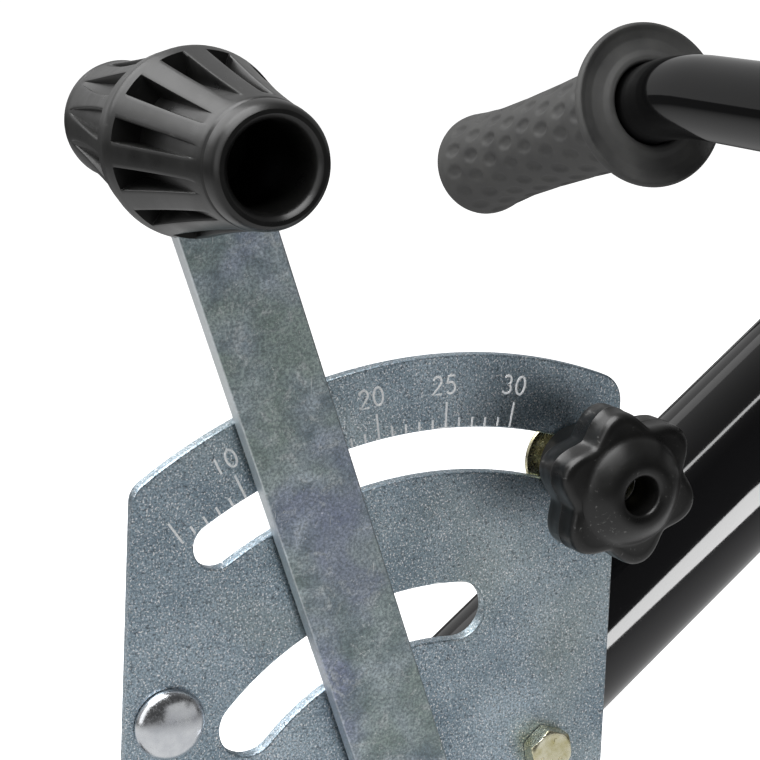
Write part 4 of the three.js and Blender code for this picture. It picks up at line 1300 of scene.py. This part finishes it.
def world():
    """White to the eye, and for the object brighter behind it than in front."""
    made = bpy.data.worlds.new("studio")
    made.use_nodes = True
    tree = made.node_tree
    seen = tree.nodes["Background"]
    seen.inputs["Color"].default_value = (1, 1, 1, 1)
    seen.inputs["Strength"].default_value = 1.0
    felt = tree.nodes.new("ShaderNodeBackground")
    felt.inputs["Strength"].default_value = 1.0
    place = tree.nodes.new("ShaderNodeTexCoord")
    axes = tree.nodes.new("ShaderNodeSeparateXYZ")
    tree.links.new(place.outputs["Generated"], axes.inputs[0])
    tree.links.new(ramp(tree, axes.outputs["Y"], (-0.6, 0.6, 0.06, 0.5)), felt.inputs["Color"])
    seen_and_felt(tree, seen, felt, "World Output")
    bpy.context.scene.world = made


def floor():
    """A pale floor that looks white but throws little light back at the object."""
    material = bpy.data.materials.new("floor")
    material.use_nodes = True
    tree = material.node_tree
    seen = tree.nodes["Principled BSDF"]
    seen.inputs["Base Color"].default_value = (0.9, 0.9, 0.9, 1)
    seen.inputs["Roughness"].default_value = 0.9
    seen.inputs["Specular IOR Level"].default_value = 0.1
    seen.inputs["Emission Color"].default_value = (1, 1, 1, 1)
    seen.inputs["Emission Strength"].default_value = 0.85
    felt = tree.nodes.new("ShaderNodeEmission")
    place = tree.nodes.new("ShaderNodeTexCoord")
    away = tree.nodes.new("ShaderNodeVectorMath")
    away.operation = "LENGTH"
    tree.links.new(place.outputs["Object"], away.inputs[0])
    glow = ramp(tree, away.outputs["Value"], (0.35, 1.1, 0.75, 0.08))
    tree.links.new(glow, felt.inputs["Strength"])
    seen_and_felt(tree, seen, felt, "Material Output")
    mesh = mesh_of(loft([ring(0, 0), ring(14, 0, 96)]), "floor")
    mesh.materials.append(material)
    obj = bpy.data.objects.new("floor", mesh)
    bpy.context.scene.collection.objects.link(obj)


def only(light, objects):
    """Limits a light to some objects."""
    chosen = bpy.data.collections.new(f"{light.name}_lit")
    for obj in objects:
        chosen.objects.link(obj)
    light.light_linking.receiver_collection = chosen


def is_bare_metal(obj):
    materials = obj.data.materials
    return obj.name == "scale_marks" or bool(materials) and "zinc" in materials[0].name


def lights():
    meshes = {obj.name: obj for obj in bpy.context.scene.objects if obj.type == "MESH"}
    tube = [meshes["main_tube_fine"]]
    shiny = [meshes[f"{node}_fine"] for node in ("handlebar", "clamp_cap", "clamp_saddle")]
    metal = [obj for obj in meshes.values() if is_bare_metal(obj)]
    others = [obj for obj in meshes.values() if obj not in tube + shiny]
    tube_axis = (ALONG.x, 0, ALONG.y)
    only(panel("overhead", (-0.4, -0.1, 0.9), 1.0, 0.8, 1.1, 6, (0, 1, 0)), others)
    only(panel("top_back", (-0.45, 0.6, 0.65), 1.0, 0.7, 0.7, 2.2, (1, 0, 0)), others)
    only(panel("left", (-0.9, -0.35, 0.3), 1.0, 0.5, 0.9, 1.3, (0, 0, 1)), others)
    only(panel("zinc_front", (0.46, -0.87, -0.06), 0.85, 1.0, 0.7, 0.5, (0, 0, 1)), metal)
    tube_at = (0.28, 0, 0.23)
    only(panel("tube_front", (0.39, -0.91, -0.17), 0.75, 0.34, 0.9, 15, tube_axis, tube_at), tube)
    only(panel("tube_top", (-0.43, -0.28, 0.86), 1.0, 0.06, 1.2, 10, tube_axis, tube_at), tube)
    only(panel("tube_back", (-0.19, 0.81, 0.56), 1.0, 0.3, 1.2, 0.8, tube_axis, tube_at), tube)
    only(panel("bar_top", (-0.1, 0.3, 0.95), 1.0, 0.25, 1.2, 5, (0, 1, 0), (0.3, 0.1, 0.27)), shiny)


camera()
world()
quadrant_plate()
scale_marks()
main_tube()
foot_flange()
foot_gusset()
stay_strap()
welds()
handlebar()
grips()
clamp()
plate_fasteners()
lever_bar()
lever_grip()
link()
control_rod()
knob()
floor()
lights()
bpy.context.scene.view_settings.view_transform = "Standard"
